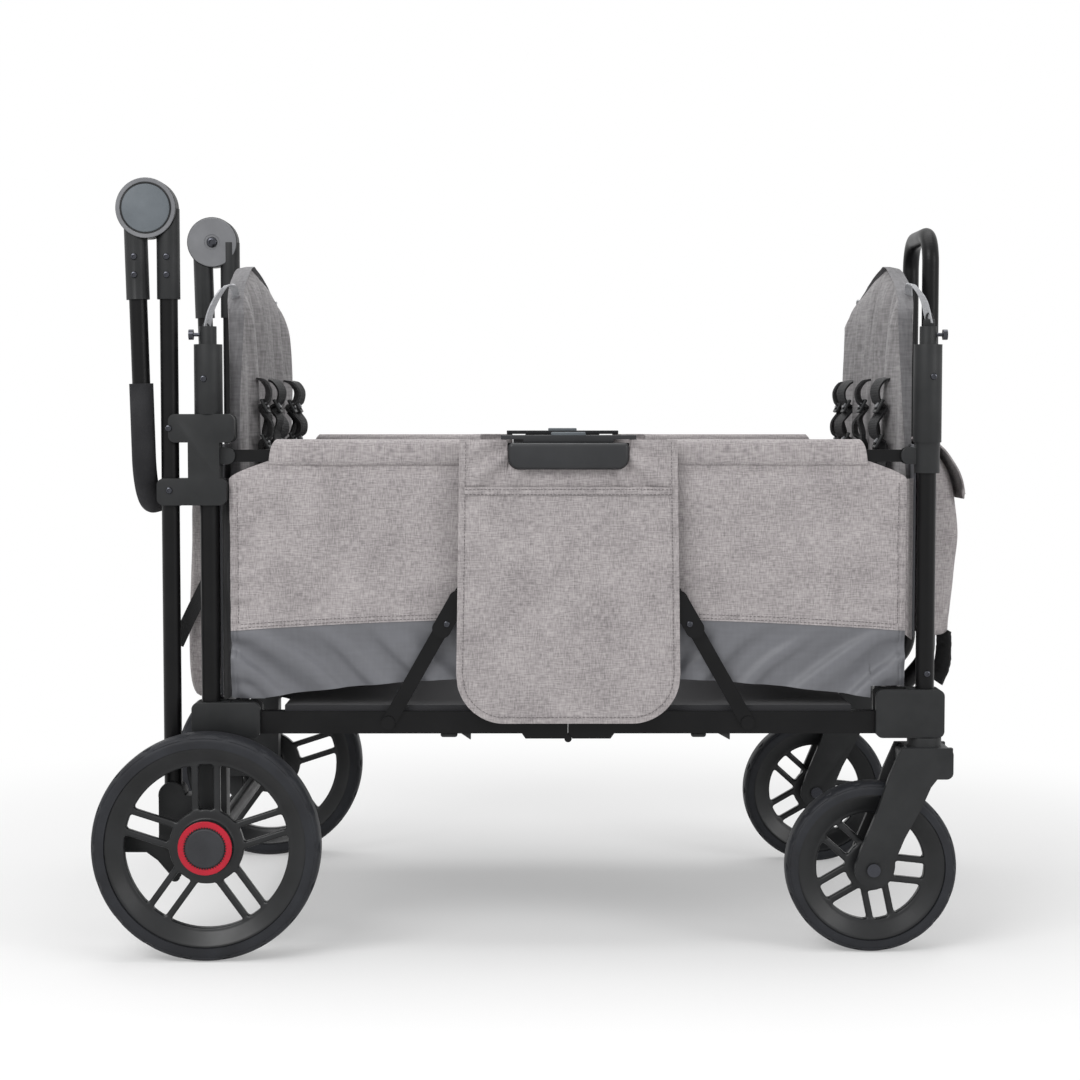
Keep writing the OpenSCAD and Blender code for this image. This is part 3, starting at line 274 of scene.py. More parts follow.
def moulded_plastic(name, slot, colour, worn, grain, roughness, bump, ior=1.4):
    """Moulded nylon, ABS or rubber: a spark-eroded grain, and paler where it has been touched."""
    made, tree, shader = start_finish(name, slot, colour, roughness, IOR=ior)
    place = add_node(tree, "TexCoord").outputs["Object"]
    touch = add_node(tree, "TexNoise", {"Vector": place, "Scale": TOUCH, "Detail": 4.0})
    shade = add_node(tree, "MapRange", {"Value": touch.outputs["Fac"], "From Min": 0.35, "From Max": 0.75})
    tint = add_node(tree, "MixRGB", {
        "Fac": shade.outputs["Result"], "Color1": linear(colour), "Color2": linear(worn)})
    tree.links.new(tint.outputs["Color"], shader.inputs["Base Color"])
    gloss = add_node(tree, "MapRange", {
        "Value": touch.outputs["Fac"], "To Min": roughness + TOUCH_GLOSS, "To Max": roughness - TOUCH_GLOSS})
    tree.links.new(gloss.outputs["Result"], shader.inputs["Roughness"])
    pits = add_node(tree, "TexNoise", {"Vector": place, "Scale": 1 / grain, "Detail": 2.0})
    relief = add_node(tree, "Bump", {"Height": pits.outputs["Fac"], "Strength": bump, "Distance": grain / 2})
    tree.links.new(relief.outputs["Normal"], shader.inputs["Normal"])
    return made


# Flecked heather canvas of the sides and flap. Its yarn is 0.4 mm and is drawn at 1.5 mm to show.
HEATHER = woven_cloth(
    "heather_polyester_canvas", "heather_fabric", "7d7879", "b9b3b3", 0.34, 0.0015, 0.0100, 0.92, 0.22)
# Brushed cloth of the seat backs, with upright light and dark streaks painted into its colour: painted shade
# of its folds and nap.
# Its yarn is 0.3 mm and is drawn at 1.4 mm.
# How many streaks of painted fold shade lie per metre across and up a seat back
FOLD_SHADE_STREAKS = (48, 5, 1)
BRUSHED = woven_cloth(
    "brushed_polyester", "heather_fabric", "575556", "b4b1b2", 0.60, 0.0014, 0.020, 0.85, 0.15, FOLD_SHADE_STREAKS)
# The same brushed cloth, painted darker for the seat backs' edges as painted shade
SHADED_GUSSET_CLOTH = woven_cloth(
    "brushed_polyester_painted_shade", "heather_fabric", "565557", "858486", 0.50, 0.0014, 0.020, 0.85, 0.15, FOLD_SHADE_STREAKS)
# Plain coated polyester below the seam, with a slight shine. Its yarn is 0.25 mm and is drawn at 1.4 mm.
SMOOTH = woven_cloth("coated_polyester", "smooth_fabric", "646569", "707176", 0.6, 0.0014, 0.030, 0.45, 0.06)
# Black cloth of the pouch's apron and the rear corner strips; on the strips its black is painted shade of the
# shadowed gap beside the rear posts
LINING_AND_SHADE_CLOTH = woven_cloth(
    "black_lining_and_painted_shade", "smooth_fabric", "161617", "242426", 0.4, 0.0014, 0.02, 0.7, 0.2)
# Nylon webbing: hard ribs across a black strap, 1.2 mm apart and drawn at 2.2 mm
WEBBING = woven_cloth(
    "black_nylon_webbing", "smooth_fabric", "121213", "222224", 0.4, 0.0022, 0.012, 0.5, 0.7)
# Grey elastic webbing of the tethers, ribbed in the same way
GREY_WEBBING = woven_cloth(
    "grey_elastic_webbing", "smooth_fabric", "8e8f92", "bcbdc0", 0.4, 0.0022, 0.012, 0.7, 0.6)
# Polyester sewing thread, a shade darker than the cloth
THREAD = woven_cloth("sewing_thread", "heather_fabric", "5a5657", "746f70", 0.3, 0.0008, 0.004, 0.7, 0.3)
# Coarse black cloth that covers the floor boards
FLOOR_CLOTH = woven_cloth("floor_board_cloth", "floor_board", "1d1d1f", "2c2c2f", 0.4, 0.002, 0.02, 0.8, 0.3)

# Powder-coated steel tube: an even fine orange peel under a satin black
POWDER_COAT = moulded_plastic(
    "black_powder_coat", "painted_tube", "0c0c0d", "131314", 0.0016, 0.36, 0.05, 1.26)
# Glass-filled nylon brackets and sockets, with a dull grain
NYLON = moulded_plastic("black_moulded_nylon", "black_plastic", "1c1d1e", "272829", 0.0012, 0.5, 0.12, 1.36)
# The hubs' smoother grab handles
ABS = moulded_plastic("charcoal_moulded_abs", "black_plastic", "242527", "2e2f31", 0.0010, 0.4, 0.05)
# Wheel rims, a little glossier than the brackets
RIM_PLASTIC = moulded_plastic("black_rim_nylon", "wheel_plastic", "161718", "202123", 0.0012, 0.36, 0.06, 1.4)
# Hub caps with a coarse pressed texture
CAP_PLASTIC = moulded_plastic("charcoal_cap_nylon", "wheel_plastic", "28292c", "333438", 0.0016, 0.5, 0.5)
# Foamed rubber tyre, matt and dusty
RUBBER = moulded_plastic("foamed_rubber", "tyre", "1b1c20", "26282d", 0.0014, 0.6, 0.15, 1.38)
# Red ABS of the hub rings
RED_RING = moulded_plastic("red_abs", "red_ring", "a80f26", "be1630", 0.0012, 0.38, 0.05)
# Grey ABS of the push buttons and locks
GREY_ABS = moulded_plastic("grey_moulded_abs", "grey_button", "5a6065", "6a7075", 0.0010, 0.5, 0.08)
# Paler grey ABS of the pivots' rings and covers; the same grey colours the small blocks on the harness
# sliders as painted highlights
PALE_ABS_AND_GLINT = moulded_plastic("pale_grey_abs_and_painted_glint", "grey_button", "6e6f72", "7e7f82", 0.0010, 0.35, 0.05)
# Closed-cell foam sleeve of the push handle
FOAM = moulded_plastic("foam_grip", "foam_grip", "262628", "343436", 0.0022, 0.9, 0.5, 1.3)


def plated_steel(name, colour, roughness):
    """Plated steel of screws, pins and bolts: bright, with fine handling scratches 1 mm apart."""
    made, tree, shader = start_finish(name, "steel", colour, roughness, Metallic=1.0)
    place = add_node(tree, "TexCoord").outputs["Object"]
    scratch = add_node(tree, "TexNoise", {"Vector": place, "Scale": 1 / SCRATCH_PITCH, "Detail": 3.0})
    gloss = add_node(tree, "MapRange", {
        "Value": scratch.outputs["Fac"],
        "To Min": roughness - SCRATCH_GLOSS, "To Max": roughness + SCRATCH_GLOSS})
    tree.links.new(gloss.outputs["Result"], shader.inputs["Roughness"])
    return made


# Black oxide keeps a dark sheen
BLACK_OXIDE = plated_steel("black_oxide_steel", "44454a", 0.25)

CAD_FINISH = {
    POWDER_COAT: [
        "rear_axle", "rear_posts", "handle_posts", "rear_crossbars", "push_handle_tube", "rear_rails",
        "front_rails", "rear_top_rails", "front_top_rails", "rear_lower_braces", "front_lower_braces",
        "rear_upper_braces", "front_upper_braces", "front_posts", "front_handle", "front_crossbars",
    ],
    NYLON: [
        "rear_knuckles", "rear_brackets", "handle_clamps", "rear_sockets", "hinge_bases", "hinge_arms",
        *pair("caster_fork"), "front_brackets", "front_sockets",
    ],
    ABS: ["side_hubs"],
    GREY_ABS: pair("hinge_button") + pair("hub_button"),
    RUBBER: pair("rear_tyre") + pair("front_tyre"),
    RIM_PLASTIC: pair("rear_rim") + pair("front_rim"),
    RED_RING: pair("rear_hub_ring"),
    CAP_PLASTIC: pair("rear_hub_cap"),
    FOAM: ["handle_grip"],
    FLOOR_CLOTH: ["rear_floor", "front_floor"],
    BLACK_OXIDE: pair("caster_bolt") + pair("pull_pin_rear") + pair("pull_pin_front"),
}
NODE_FINISH = {name: finish for finish, names in CAD_FINISH.items() for name in names}
for name, finish in NODE_FINISH.items():
    for place in frame["nodes"][name].material_slots:
        place.material = finish

# Ways of making a piece

WELD = 0.000005
CAD_WELD = 0.00002
FLAT_ANGLE = 0.5
BEVEL_FROM = 38
BEVEL_SMOOTH = 32
CURVE_STEPS = 24
SEED_STEP = 7.31


def alone(piece):
    """Selects one object and makes it active."""
    bpy.ops.object.select_all(action="DESELECT")
    piece.select_set(True)
    bpy.context.view_layer.objects.active = piece


@contextlib.contextmanager
def editing(piece):
    """Edit mode, with all of a piece's points selected."""
    alone(piece)
    bpy.ops.object.mode_set(mode="EDIT")
    bpy.ops.mesh.select_all(action="SELECT")
    yield
    bpy.ops.object.mode_set(mode="OBJECT")


def modify(piece, kind, **settings):
    """Adds a modifier and applies it."""
    step = piece.modifiers.new(kind.lower(), kind)
    for name, value in settings.items():
        setattr(step, name, value)
    alone(piece)
    bpy.ops.object.modifier_apply(modifier=step.name)


def smooth(piece, angle=40):
    """Shades a piece smooth, apart from its sharp edges."""
    alone(piece)
    bpy.ops.object.shade_smooth_by_angle(angle=math.radians(angle))


def dress(piece, name, finish, body, *nodes):
    """Names a piece, gives it its finish and the body that it rides on."""
    piece.name = name
    piece.data.materials.clear()
    piece.data.materials.append(finish)
    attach(piece, body)
    if nodes:
        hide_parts(*nodes)
    return piece


def placed(mesh):
    """A new object at the origin that holds a mesh."""
    piece = bpy.data.objects.new("piece", mesh)
    bpy.context.scene.collection.objects.link(piece)
    return piece


def joined(pieces):
    """Joins pieces into the first one."""
    bpy.ops.object.select_all(action="DESELECT")
    for piece in pieces:
        piece.select_set(True)
    bpy.context.view_layer.objects.active = pieces[0]
    bpy.ops.object.join()
    return pieces[0]


def mended(piece):
    """Merges a piece's doubled points and turns its faces outwards."""
    with editing(piece):
        bpy.ops.mesh.remove_doubles(threshold=WELD)
        bpy.ops.mesh.normals_make_consistent(inside=False)
    return piece


def copied(node):
    """A merged copy of a CAD node, with its flat faces whole again."""
    piece = placed(frame["nodes"][node].data.copy())
    alone(piece)
    if piece.data.has_custom_normals:
        bpy.ops.mesh.customdata_custom_splitnormals_clear()
    with editing(piece):
        bpy.ops.mesh.remove_doubles(threshold=CAD_WELD)
        bpy.ops.mesh.dissolve_limited(angle_limit=math.radians(FLAT_ANGLE))
    return piece


def bevelled(piece, edge):
    """Rounds a rigid piece's sharp edges, as a mould does."""
    modify(piece, "BEVEL", width=edge, segments=3, limit_method="ANGLE", angle_limit=math.radians(BEVEL_FROM))
    smooth(piece, BEVEL_SMOOTH)
    return piece


def stands_for(node, piece, name):
    """Dresses a piece in its node's own finish and body, and puts it in the node's place."""
    return dress(piece, name, NODE_FINISH[node], frame["nodes"][node]["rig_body"], node)


def mirrored(piece, way, middle):
    """A mirror copy of a piece on the other side of a plane through middle, square to way."""
    alone(piece)
    bpy.ops.object.duplicate()
    twin = bpy.context.object
    with editing(twin):
        bpy.ops.transform.resize(value=[1 - 2 * w for w in way], center_override=middle)
        bpy.ops.mesh.flip_normals()
    return twin


def block(low, high, edge):
    """A moulded block between two corners, with rounded edges."""
    low, high = Vector(low), Vector(high)
    piece = basic_shape(bpy.ops.mesh.primitive_cube_add, size=1, location=(low + high) / 2)
    piece.scale = [abs(c) for c in high - low]
    bpy.ops.object.transform_apply()
    return bevelled(piece, edge)


def slab(outline, start, end, edge):
    """A plate cut to an outline of (x, z) points between two depths along Y, with rounded edges."""
    count = len(outline)
    faces = [list(range(count)), list(range(count, 2 * count))]
    faces += [(i, (i + 1) % count, count + (i + 1) % count, count + i) for i in range(count)]
    mesh = bpy.data.meshes.new("slab")
    mesh.from_pydata([(x, y, z) for y in (start, end) for x, z in outline], [], faces)
    return bevelled(mended(placed(mesh)), edge)


def spun(profile, middle, axis, steps=64):
    """A turned shape: an outline of (radius, height) points spun about an axis through middle."""
    axis = Vector(axis).normalized()
    side = axis.orthogonal().normalized()
    mesh = bpy.data.meshes.new("turned")
    rim = [Vector(middle) + side * r + axis * h for r, h in profile]
    mesh.from_pydata(rim, [(i, (i + 1) % len(rim)) for i in range(len(rim))], [])
    piece = placed(mesh)
    with editing(piece):
        bpy.ops.mesh.spin(steps=steps, angle=math.tau, center=middle, axis=axis)
    mended(piece)
    smooth(piece, 35)
    return piece


def spaced(*spans):
    """Stations along a line from (start, end, steps) spans that follow each other."""
    stations = [spans[0][0]]
    for start, end, steps in spans:
        stations += [start + (end - start) * (i + 1) / steps for i in range(steps)]
    return stations


def cloth(us, vs, place, lay, thickness=0.0):
    """A sheet of cloth: a grid whose points go to place(u, v), with lay(u, v) as its flat map in metres."""
    columns, rows = len(us) - 1, len(vs) - 1
    piece = basic_shape(
        bpy.ops.mesh.primitive_grid_add, x_subdivisions=columns, y_subdivisions=rows, size=1)
    flat = []
    for vertex in piece.data.vertices:
        u = us[round((vertex.co.x + 0.5) * columns)]
        v = vs[round((vertex.co.y + 0.5) * rows)]
        flat.append(lay(u, v))
        vertex.co = place(u, v)
    layer = piece.data.uv_layers.active.data
    for loop in piece.data.loops:
        layer[loop.index].uv = flat[loop.vertex_index]
    if thickness:
        modify(piece, "SOLIDIFY", thickness=thickness, offset=0)
    smooth(piece)
    return piece


def curve_through(points, steps):
    """Points evenly spaced on a smooth curve through the given ones, and the curve's length."""
    points = [Vector(p) for p in points]
    ends = [2 * points[0] - points[1], *points, 2 * points[-1] - points[-2]]
    fine = []
    for a, b, c, d in zip(ends, ends[1:], ends[2:], ends[3:]):
        for i in range(CURVE_STEPS):
            t = i / CURVE_STEPS
            fine.append(0.5 * (2 * b + (c - a) * t + (2 * a - 5 * b + 4 * c - d) * t * t
                               + (3 * b - a - 3 * c + d) * t ** 3))
    fine.append(points[-1])
    along = [0.0]
    for a, b in zip(fine, fine[1:]):
        along.append(along[-1] + (b - a).length)
    even, k = [], 0
    for i in range(steps + 1):
        goal = along[-1] * i / steps
        while k < len(along) - 2 and along[k + 1] < goal:
            k += 1
        step = along[k + 1] - along[k]
        even.append(fine[k].lerp(fine[k + 1], (goal - along[k]) / step if step else 0))
    return even, along[-1]


def strap(points, side, width, thickness, steps=32):
    """A flat strap of webbing along a smooth curve, with its width along side."""
    way, length = curve_through(points, steps)
    across = Vector(side).normalized()
    return cloth(
        spaced((-width / 2, width / 2, 4)), list(range(steps + 1)),
        lambda u, v: way[v] + across * u, lambda u, v: (u, v * length / steps), thickness,
    )


def scattered(shape, places):
    """Copies of one small shape at the given places, as one piece. The shape itself goes."""
    mesh = bmesh.new()
    for place in places:
        start = len(mesh.verts)
        mesh.from_mesh(shape.data)
        mesh.verts.ensure_lookup_table()
        bmesh.ops.transform(mesh, matrix=place, verts=mesh.verts[start:])
    copies = bpy.data.meshes.new("copies")
    mesh.to_mesh(copies)
    mesh.free()
    bpy.data.objects.remove(shape)
    return placed(copies)


def facing(place, out, along=UP, size=(1, 1, 1)):
    """The matrix that puts a small shape at place with its Z axis along out and its Y axis nearest along."""
    out = Vector(out).normalized()
    across = Vector(along).cross(out).normalized()
    turn = Matrix((across, out.cross(across), out)).transposed().to_4x4()
    return Matrix.Translation(place) @ turn @ Matrix.Diagonal((*size, 1))


STITCH_PITCH = 0.0052
STITCH_L = 0.0042
STITCH_W = 0.0010


def stitch_row(points, normal):
    """A row of stitches along a curve, on a surface that faces normal: low rounded threads, end to end."""
    length = curve_through(points, 4)[1]
    way = curve_through(points, max(2, round(length / STITCH_PITCH)))[0]
    size = (STITCH_W, STITCH_L, STITCH_W)
    places = [facing((a + b) / 2, normal, b - a, size) for a, b in zip(way, way[1:])]
    thread = basic_shape(
        bpy.ops.mesh.primitive_uv_sphere_add, segments=6, ring_count=4, radius=0.5,
        rotation=(math.pi / 2, 0, 0))
    bpy.ops.object.transform_apply()
    piece = scattered(thread, places)
    smooth(piece, 180)
    return piece


def box_map(piece):
    """Lays a flat map in metres on a closed cushion, by the way each face looks."""
    layer = (piece.data.uv_layers.active or piece.data.uv_layers.new(name="UVMap")).data
    for face in piece.data.polygons:
        drop = max(range(3), key=lambda i: abs(face.normal[i]))
        for k in face.loop_indices:
            co = piece.data.vertices[piece.data.loops[k].vertex_index].co
            layer[k].uv = [c for i, c in enumerate(co) if i != drop]


def cushion(front, back, gusset_steps):
    """Joins two cloths with the same count of edge points by a gusset, as a closed cushion."""
    piece = joined([front, back])
    with editing(piece):
        bpy.ops.mesh.select_mode(type="EDGE")
        bpy.ops.mesh.select_all(action="DESELECT")
        bpy.ops.mesh.select_non_manifold()
        bpy.ops.mesh.bridge_edge_loops(number_cuts=gusset_steps)
        bpy.ops.mesh.select_all(action="SELECT")
        bpy.ops.mesh.normals_make_consistent(inside=False)
    return piece


def bent_wire(points, radius):
    """A round wire bent along a curve."""
    curve = bpy.data.curves.new("wire", "CURVE")
    curve.dimensions = "3D"
    curve.bevel_depth = radius
    curve.bevel_resolution = 2
    curve.use_fill_caps = True
    spline = curve.splines.new("POLY")
    spline.points.add(len(points) - 1)
    for point, place in zip(spline.points, points):
        point.co = (*place, 1)
    piece = bpy.data.objects.new("wire", curve)
    bpy.context.scene.collection.objects.link(piece)
    alone(piece)
    bpy.ops.object.convert(target="MESH")
    piece = bpy.context.object
    box_map(piece)
    smooth(piece, 60)
    return piece


def ripple(a, b, seed, size):
    """A smooth random swell between -1 and 1, the same at every run."""
    return noise.noise(Vector((a / size, b / size, seed * SEED_STEP)))


def ease(value, start, end):
    """0 before start, 1 after end, and a smooth climb between them."""
    share = min(1.0, max(0.0, (value - start) / (end - start)))
    return share * share * (3 - 2 * share)


# Moulded and cast pieces: the CAD shapes with their edges rounded

EDGE_RADII = {
    "rear_knuckles": 0.0026, "rear_brackets": 0.0026, "handle_clamps": 0.0022, "rear_sockets": 0.0016,
    "hinge_bases": 0.0016, "hinge_arms": 0.0016, "hinge_button_right": 0.0014, "hinge_button_left": 0.0014,
    "caster_fork_right": 0.0028, "caster_fork_left": 0.0028, "front_brackets": 0.0028,
    "front_sockets": 0.0016, "hub_button_right": 0.0014, "hub_button_left": 0.0014,
    "rear_hub_cap_right": 0.0012, "rear_hub_cap_left": 0.0012, "rear_hub_ring_right": 0.0008,
    "rear_hub_ring_left": 0.0008,
}
for node, edge in EDGE_RADII.items():
    stands_for(node, bevelled(copied(node), edge), node + "_moulded")

HUB_BODY_HALF = 0.080
HUB_BODY_FOOT = 0.654
HUB_BODY_TOP = 0.689
# The grab handle starts outside the slot of the lock button
HUB_PLATE_OUT = 0.3246
HUB_FACE = 0.3401
HUB_EDGE = 0.0024
GRIP_EDGE = 0.0050
GRIP_LOW_R, GRIP_TOP_R = 0.0150, 0.0060
GRIP_SINK = 0.0006
CORNER_STEPS = 8
CUTTER = 0.2
CUTTER_OVER = 0.0005


def grip_outline():
    """The grab handle's outline from the front: wide round corners below and small ones above."""
    low, high = HUB_BODY_FOOT + GRIP_LOW_R, HUB_BODY_TOP - GRIP_TOP_R
    corners = [(1, low, GRIP_LOW_R), (1, high, GRIP_TOP_R), (-1, high, GRIP_TOP_R), (-1, low, GRIP_LOW_R)]
    outline = []
    for quarter, (way, height, r) in enumerate(corners):
        middle = MID_X + way * (HUB_BODY_HALF - r)
        for step in range(CORNER_STEPS + 1):
            turn = math.pi / 2 * (quarter - 1 + step / CORNER_STEPS)
            outline.append((middle + r * math.cos(turn), height + r * math.sin(turn)))
    return outline


def grab_handles():
    """The side hubs, with soft-edged grab handles in place of their plain bodies."""
    piece = copied("side_hubs")
    grips = []
    for sign in SIDES.values():
        spot = (MID_X, sign * (HUB_PLATE_OUT + CUTTER / 2), HUB_BODY_TOP + CUTTER_OVER - CUTTER / 2)
        cutter = basic_shape(bpy.ops.mesh.primitive_cube_add, size=CUTTER, location=spot)
        modify(piece, "BOOLEAN", object=cutter, operation="DIFFERENCE", solver="EXACT")
        bpy.data.objects.remove(cutter)
        grips.append(slab(grip_outline(), sign * (HUB_PLATE_OUT - GRIP_SINK), sign * HUB_FACE, GRIP_EDGE))
    stands_for("side_hubs", joined([bevelled(piece, HUB_EDGE), *grips]), "side_grab_handles")


grab_handles()

# Wheels

RIM_VOXEL = 0.0017
RIM_ROUNDS = 5
RIM_KEEP = 0.45
TYRE_STEPS = 180
TYRE_NOTCHES = 18
NOTCH_HALF = math.radians(2.2)
NOTCH_DEPTH = 0.0017
LINE_DEPTH = 0.0007
LINE_SHARE, LINE_HALF_SHARE = 0.62, 0.06
TYRE_BEAD = 0.0020
TYRE_POINTS = 32
# The shoulder that is notched, as shares of the tyre's height and of its half width
SHOULDER_SHARES = (0.62, 0.97)
SHOULDER_SIDE_SHARE = 0.45


def tyre(node, height):
    """A foamed tyre: a full round section with a moulded line and notches on its shoulders."""
    low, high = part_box(node)
    middle, r, half = (low + high) / 2, (high.z - low.z) / 2, (high.y - low.y) / 2
    profile = []
    for i in range(TYRE_POINTS + 1):
        turn = math.pi * i / TYRE_POINTS
        rise = height * math.sin(turn) ** 0.5
        line = LINE_DEPTH if abs(rise - LINE_SHARE * height) < LINE_HALF_SHARE * height else 0
        reach = r - height - TYRE_BEAD * (1 - math.sin(turn)) ** 6 + rise
        width = half * abs(math.cos(turn)) ** 0.5 - line
        profile.append((reach, math.copysign(width, math.cos(turn))))
    piece = spun(profile, middle, (0, 1, 0), TYRE_STEPS)
    pitch = math.tau / TYRE_NOTCHES
    start, end = (share * height for share in SHOULDER_SHARES)
    for vertex in piece.data.vertices:
        arm = vertex.co - middle
        spoke = Vector((arm.x, 0, arm.z))
        turn = (math.atan2(arm.z, arm.x) + pitch / 2) % pitch - pitch / 2
        shoulder = start < spoke.length - (r - height) < end
        if shoulder and abs(turn) < NOTCH_HALF and abs(arm.y) > SHOULDER_SIDE_SHARE * half:
            vertex.co -= spoke.normalized() * NOTCH_DEPTH
            vertex.co.y -= math.copysign(NOTCH_DEPTH, arm.y)
    smooth(piece, 50)
    return piece


def wheel(kind, side, height):
    """One wheel's tyre and rim."""
    node = kind + "_tyre_" + side
    stands_for(node, tyre(node, height), kind + "_wheel_tyre_" + side)
    node = kind + "_rim_" + side
    rim = copied(node)
    modify(rim, "REMESH", mode="VOXEL", voxel_size=RIM_VOXEL)
    modify(rim, "SMOOTH", factor=0.5, iterations=RIM_ROUNDS)
    modify(rim, "DECIMATE", ratio=RIM_KEEP)
    smooth(rim, 60)
    stands_for(node, rim, kind + "_wheel_rim_" + side)


TYRE_H = {"rear": 0.0165, "front": 0.0140}
for kind, height in TYRE_H.items():
    for side in SIDES:
        wheel(kind, side, height)

BEAD_COUNT = 48
BEAD_R = 0.0011


def ring_beads(side):
    """The row of dark beads between a red hub ring and its cap."""
    low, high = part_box("rear_hub_ring_" + side)
    cap_low, cap_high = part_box("rear_hub_cap_" + side)
    middle = (low + high) / 2
    middle.y = low.y if SIDES[side] < 0 else high.y
    r = (cap_high.z - cap_low.z) / 2 + BEAD_R * 0.6
    bead = spun([(0, -0.2), (0.7, 0), (1, 0.3), (0.8, 0.75), (0, 1)], (0, 0, 0), UP, 8)
    places = []
    for i in range(BEAD_COUNT):
        turn = math.tau * i / BEAD_COUNT
        spot = middle + Vector((r * math.cos(turn), 0, r * math.sin(turn)))
        places.append(facing(spot, (0, SIDES[side], 0), size=(BEAD_R,) * 3))
    beads = scattered(bead, places)
    smooth(beads, 60)
    dress(beads, "hub_ring_beads_" + side, RIM_PLASTIC, "rear_wheel_" + side)


for side in SIDES:
    ring_beads(side)

# Push handle pivots: a pale ring round each button, and a cover with its screw on each inner face

HINGE_X, HINGE_Z = centre("hinge_button_right").x, centre("hinge_button_right").z
ARM_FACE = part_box("hinge_arms")[1].y
BASE_FACE = 0.2870
RING_PROFILE = [
    (0.0343, -0.0004), (0.0396, -0.0004), (0.0396, 0.0008),
    (0.0389, 0.0014), (0.0350, 0.0014), (0.0343, 0.0008)]
COVER_PROFILE = [
    (0, -0.0004), (0.0390, -0.0004), (0.0390, 0.0008), (0.0381, 0.0015),
    (0.0125, 0.0015), (0.0118, 0.0007), (0, 0.0007)]
for side, sign in SIDES.items():
    ring = spun(RING_PROFILE, (HINGE_X, sign * ARM_FACE, HINGE_Z), (0, sign, 0))
    dress(ring, "pivot_ring_" + side, PALE_ABS_AND_GLINT, "push_handle")
    cover = spun(COVER_PROFILE, (HINGE_X, sign * BASE_FACE, HINGE_Z), (0, -sign, 0))
    dress(cover, "pivot_cover_" + side, PALE_ABS_AND_GLINT, "rear_frame")

# Screws, each set on the face that it holds

SCREW_R = 0.0044
SCREW_PLACES = {
    "hinge_arms": [(-0.533, 0.936), (-0.533, 0.912)],
    "hinge_bases": [(-0.490, 0.936), (-0.490, 0.912)],
    "handle_clamps": [(-0.489, 0.625), (-0.489, 0.708)],
    "rear_sockets": [(-0.4416, 0.774)],
    "front_sockets": [(0.531, 0.777)],
    "front_posts": [(0.527, 0.378)],
    "front_upper_braces": [(0.207, 0.446)],
    "rear_upper_braces": [(-0.1185, 0.446)],
}


def screw_head():
    """A domed screw head of 1 m radius, to be scaled, with its hexagon socket."""
    head = spun([(0, -0.3), (1, -0.3), (1, 0.2), (0.88, 0.42), (0.6, 0.56), (0, 0.6)], (0, 0, 0), UP, 20)
    socket = basic_shape(
        bpy.ops.mesh.primitive_cylinder_add, vertices=6, radius=0.5, depth=0.8, location=(0, 0, 0.6))
    modify(head, "BOOLEAN", object=socket, operation="DIFFERENCE", solver="EXACT")
    bpy.data.objects.remove(socket)
    return head


def screws(node, spots):
    """Screw heads on both sides of a node, where a line along Y first meets it."""
    mesh = frame["nodes"][node].data
    faces = BVHTree.FromPolygons([v.co for v in mesh.vertices], [p.vertices for p in mesh.polygons])
    places = []
    for x, z in spots:
        for sign in SIDES.values():
            spot = faces.ray_cast((x, sign, z), (0, -sign, 0))[0]
            places.append(facing(spot, (0, sign, 0), size=(SCREW_R,) * 3))
    heads = scattered(screw_head(), places)
    smooth(heads, 30)
    dress(heads, node + "_screws", BLACK_OXIDE, frame["nodes"][node]["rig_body"])


for node, spots in SCREW_PLACES.items():
    screws(node, spots)

COVER_SCREW_R = 0.0085
COVER_SCREW_OUT = 0.0005
cover_screws = scattered(screw_head(), [
    facing((HINGE_X, sign * (BASE_FACE - COVER_SCREW_OUT), HINGE_Z), (0, -sign, 0), size=(COVER_SCREW_R,) * 3)
    for sign in SIDES.values()])
smooth(cover_screws, 30)
dress(cover_screws, "pivot_cover_screws", BLACK_OXIDE, "rear_frame")

# Floor board catches under the lower rails: a round foot and a small fin at each

RAIL_FOOT = 0.2970
CATCH_FEET = {"rear_rail": (-0.128, -0.105), "front_rail": (0.2105, 0.231)}
CATCH_FINS = {"rear_rail": (-0.100, -0.087), "front_rail": (0.247, 0.263)}
CATCH_IN, CATCH_OUT = 0.294, 0.306
FOOT_DROP, FIN_DROP = 0.006, 0.0095
FOOT_EDGE, FIN_EDGE = 0.0034, 0.0012
CATCH_SINK = 0.001
FIN_TIP = 0.0006


def floor_catches(body):
    """The feet and fins under both rails of one body."""
    parts = []
    for sign in SIDES.values():
        def hung(span, drop, edge):
            low = (span[0], sign * CATCH_IN, RAIL_FOOT - drop)
            return block(low, (span[1], sign * CATCH_OUT, RAIL_FOOT + CATCH_SINK), edge)

        parts.append(hung(CATCH_FEET[body], FOOT_DROP, FOOT_EDGE))
        fin = hung(CATCH_FINS[body], FIN_DROP, FIN_EDGE)
        start, end = CATCH_FINS[body]
        for vertex in fin.data.vertices:
            slope = (end - vertex.co.x) / (end - start)
            if vertex.co.z < RAIL_FOOT:
                vertex.co.z += slope * (RAIL_FOOT - FIN_TIP - vertex.co.z)
        parts.append(fin)
    dress(joined(parts), "floor_catches_" + body, NYLON, body)


for body in CATCH_FEET:
    floor_catches(body)

# Brake arms: a cast arm behind each rear wheel that reaches back from the knuckle, with an eye at its foot

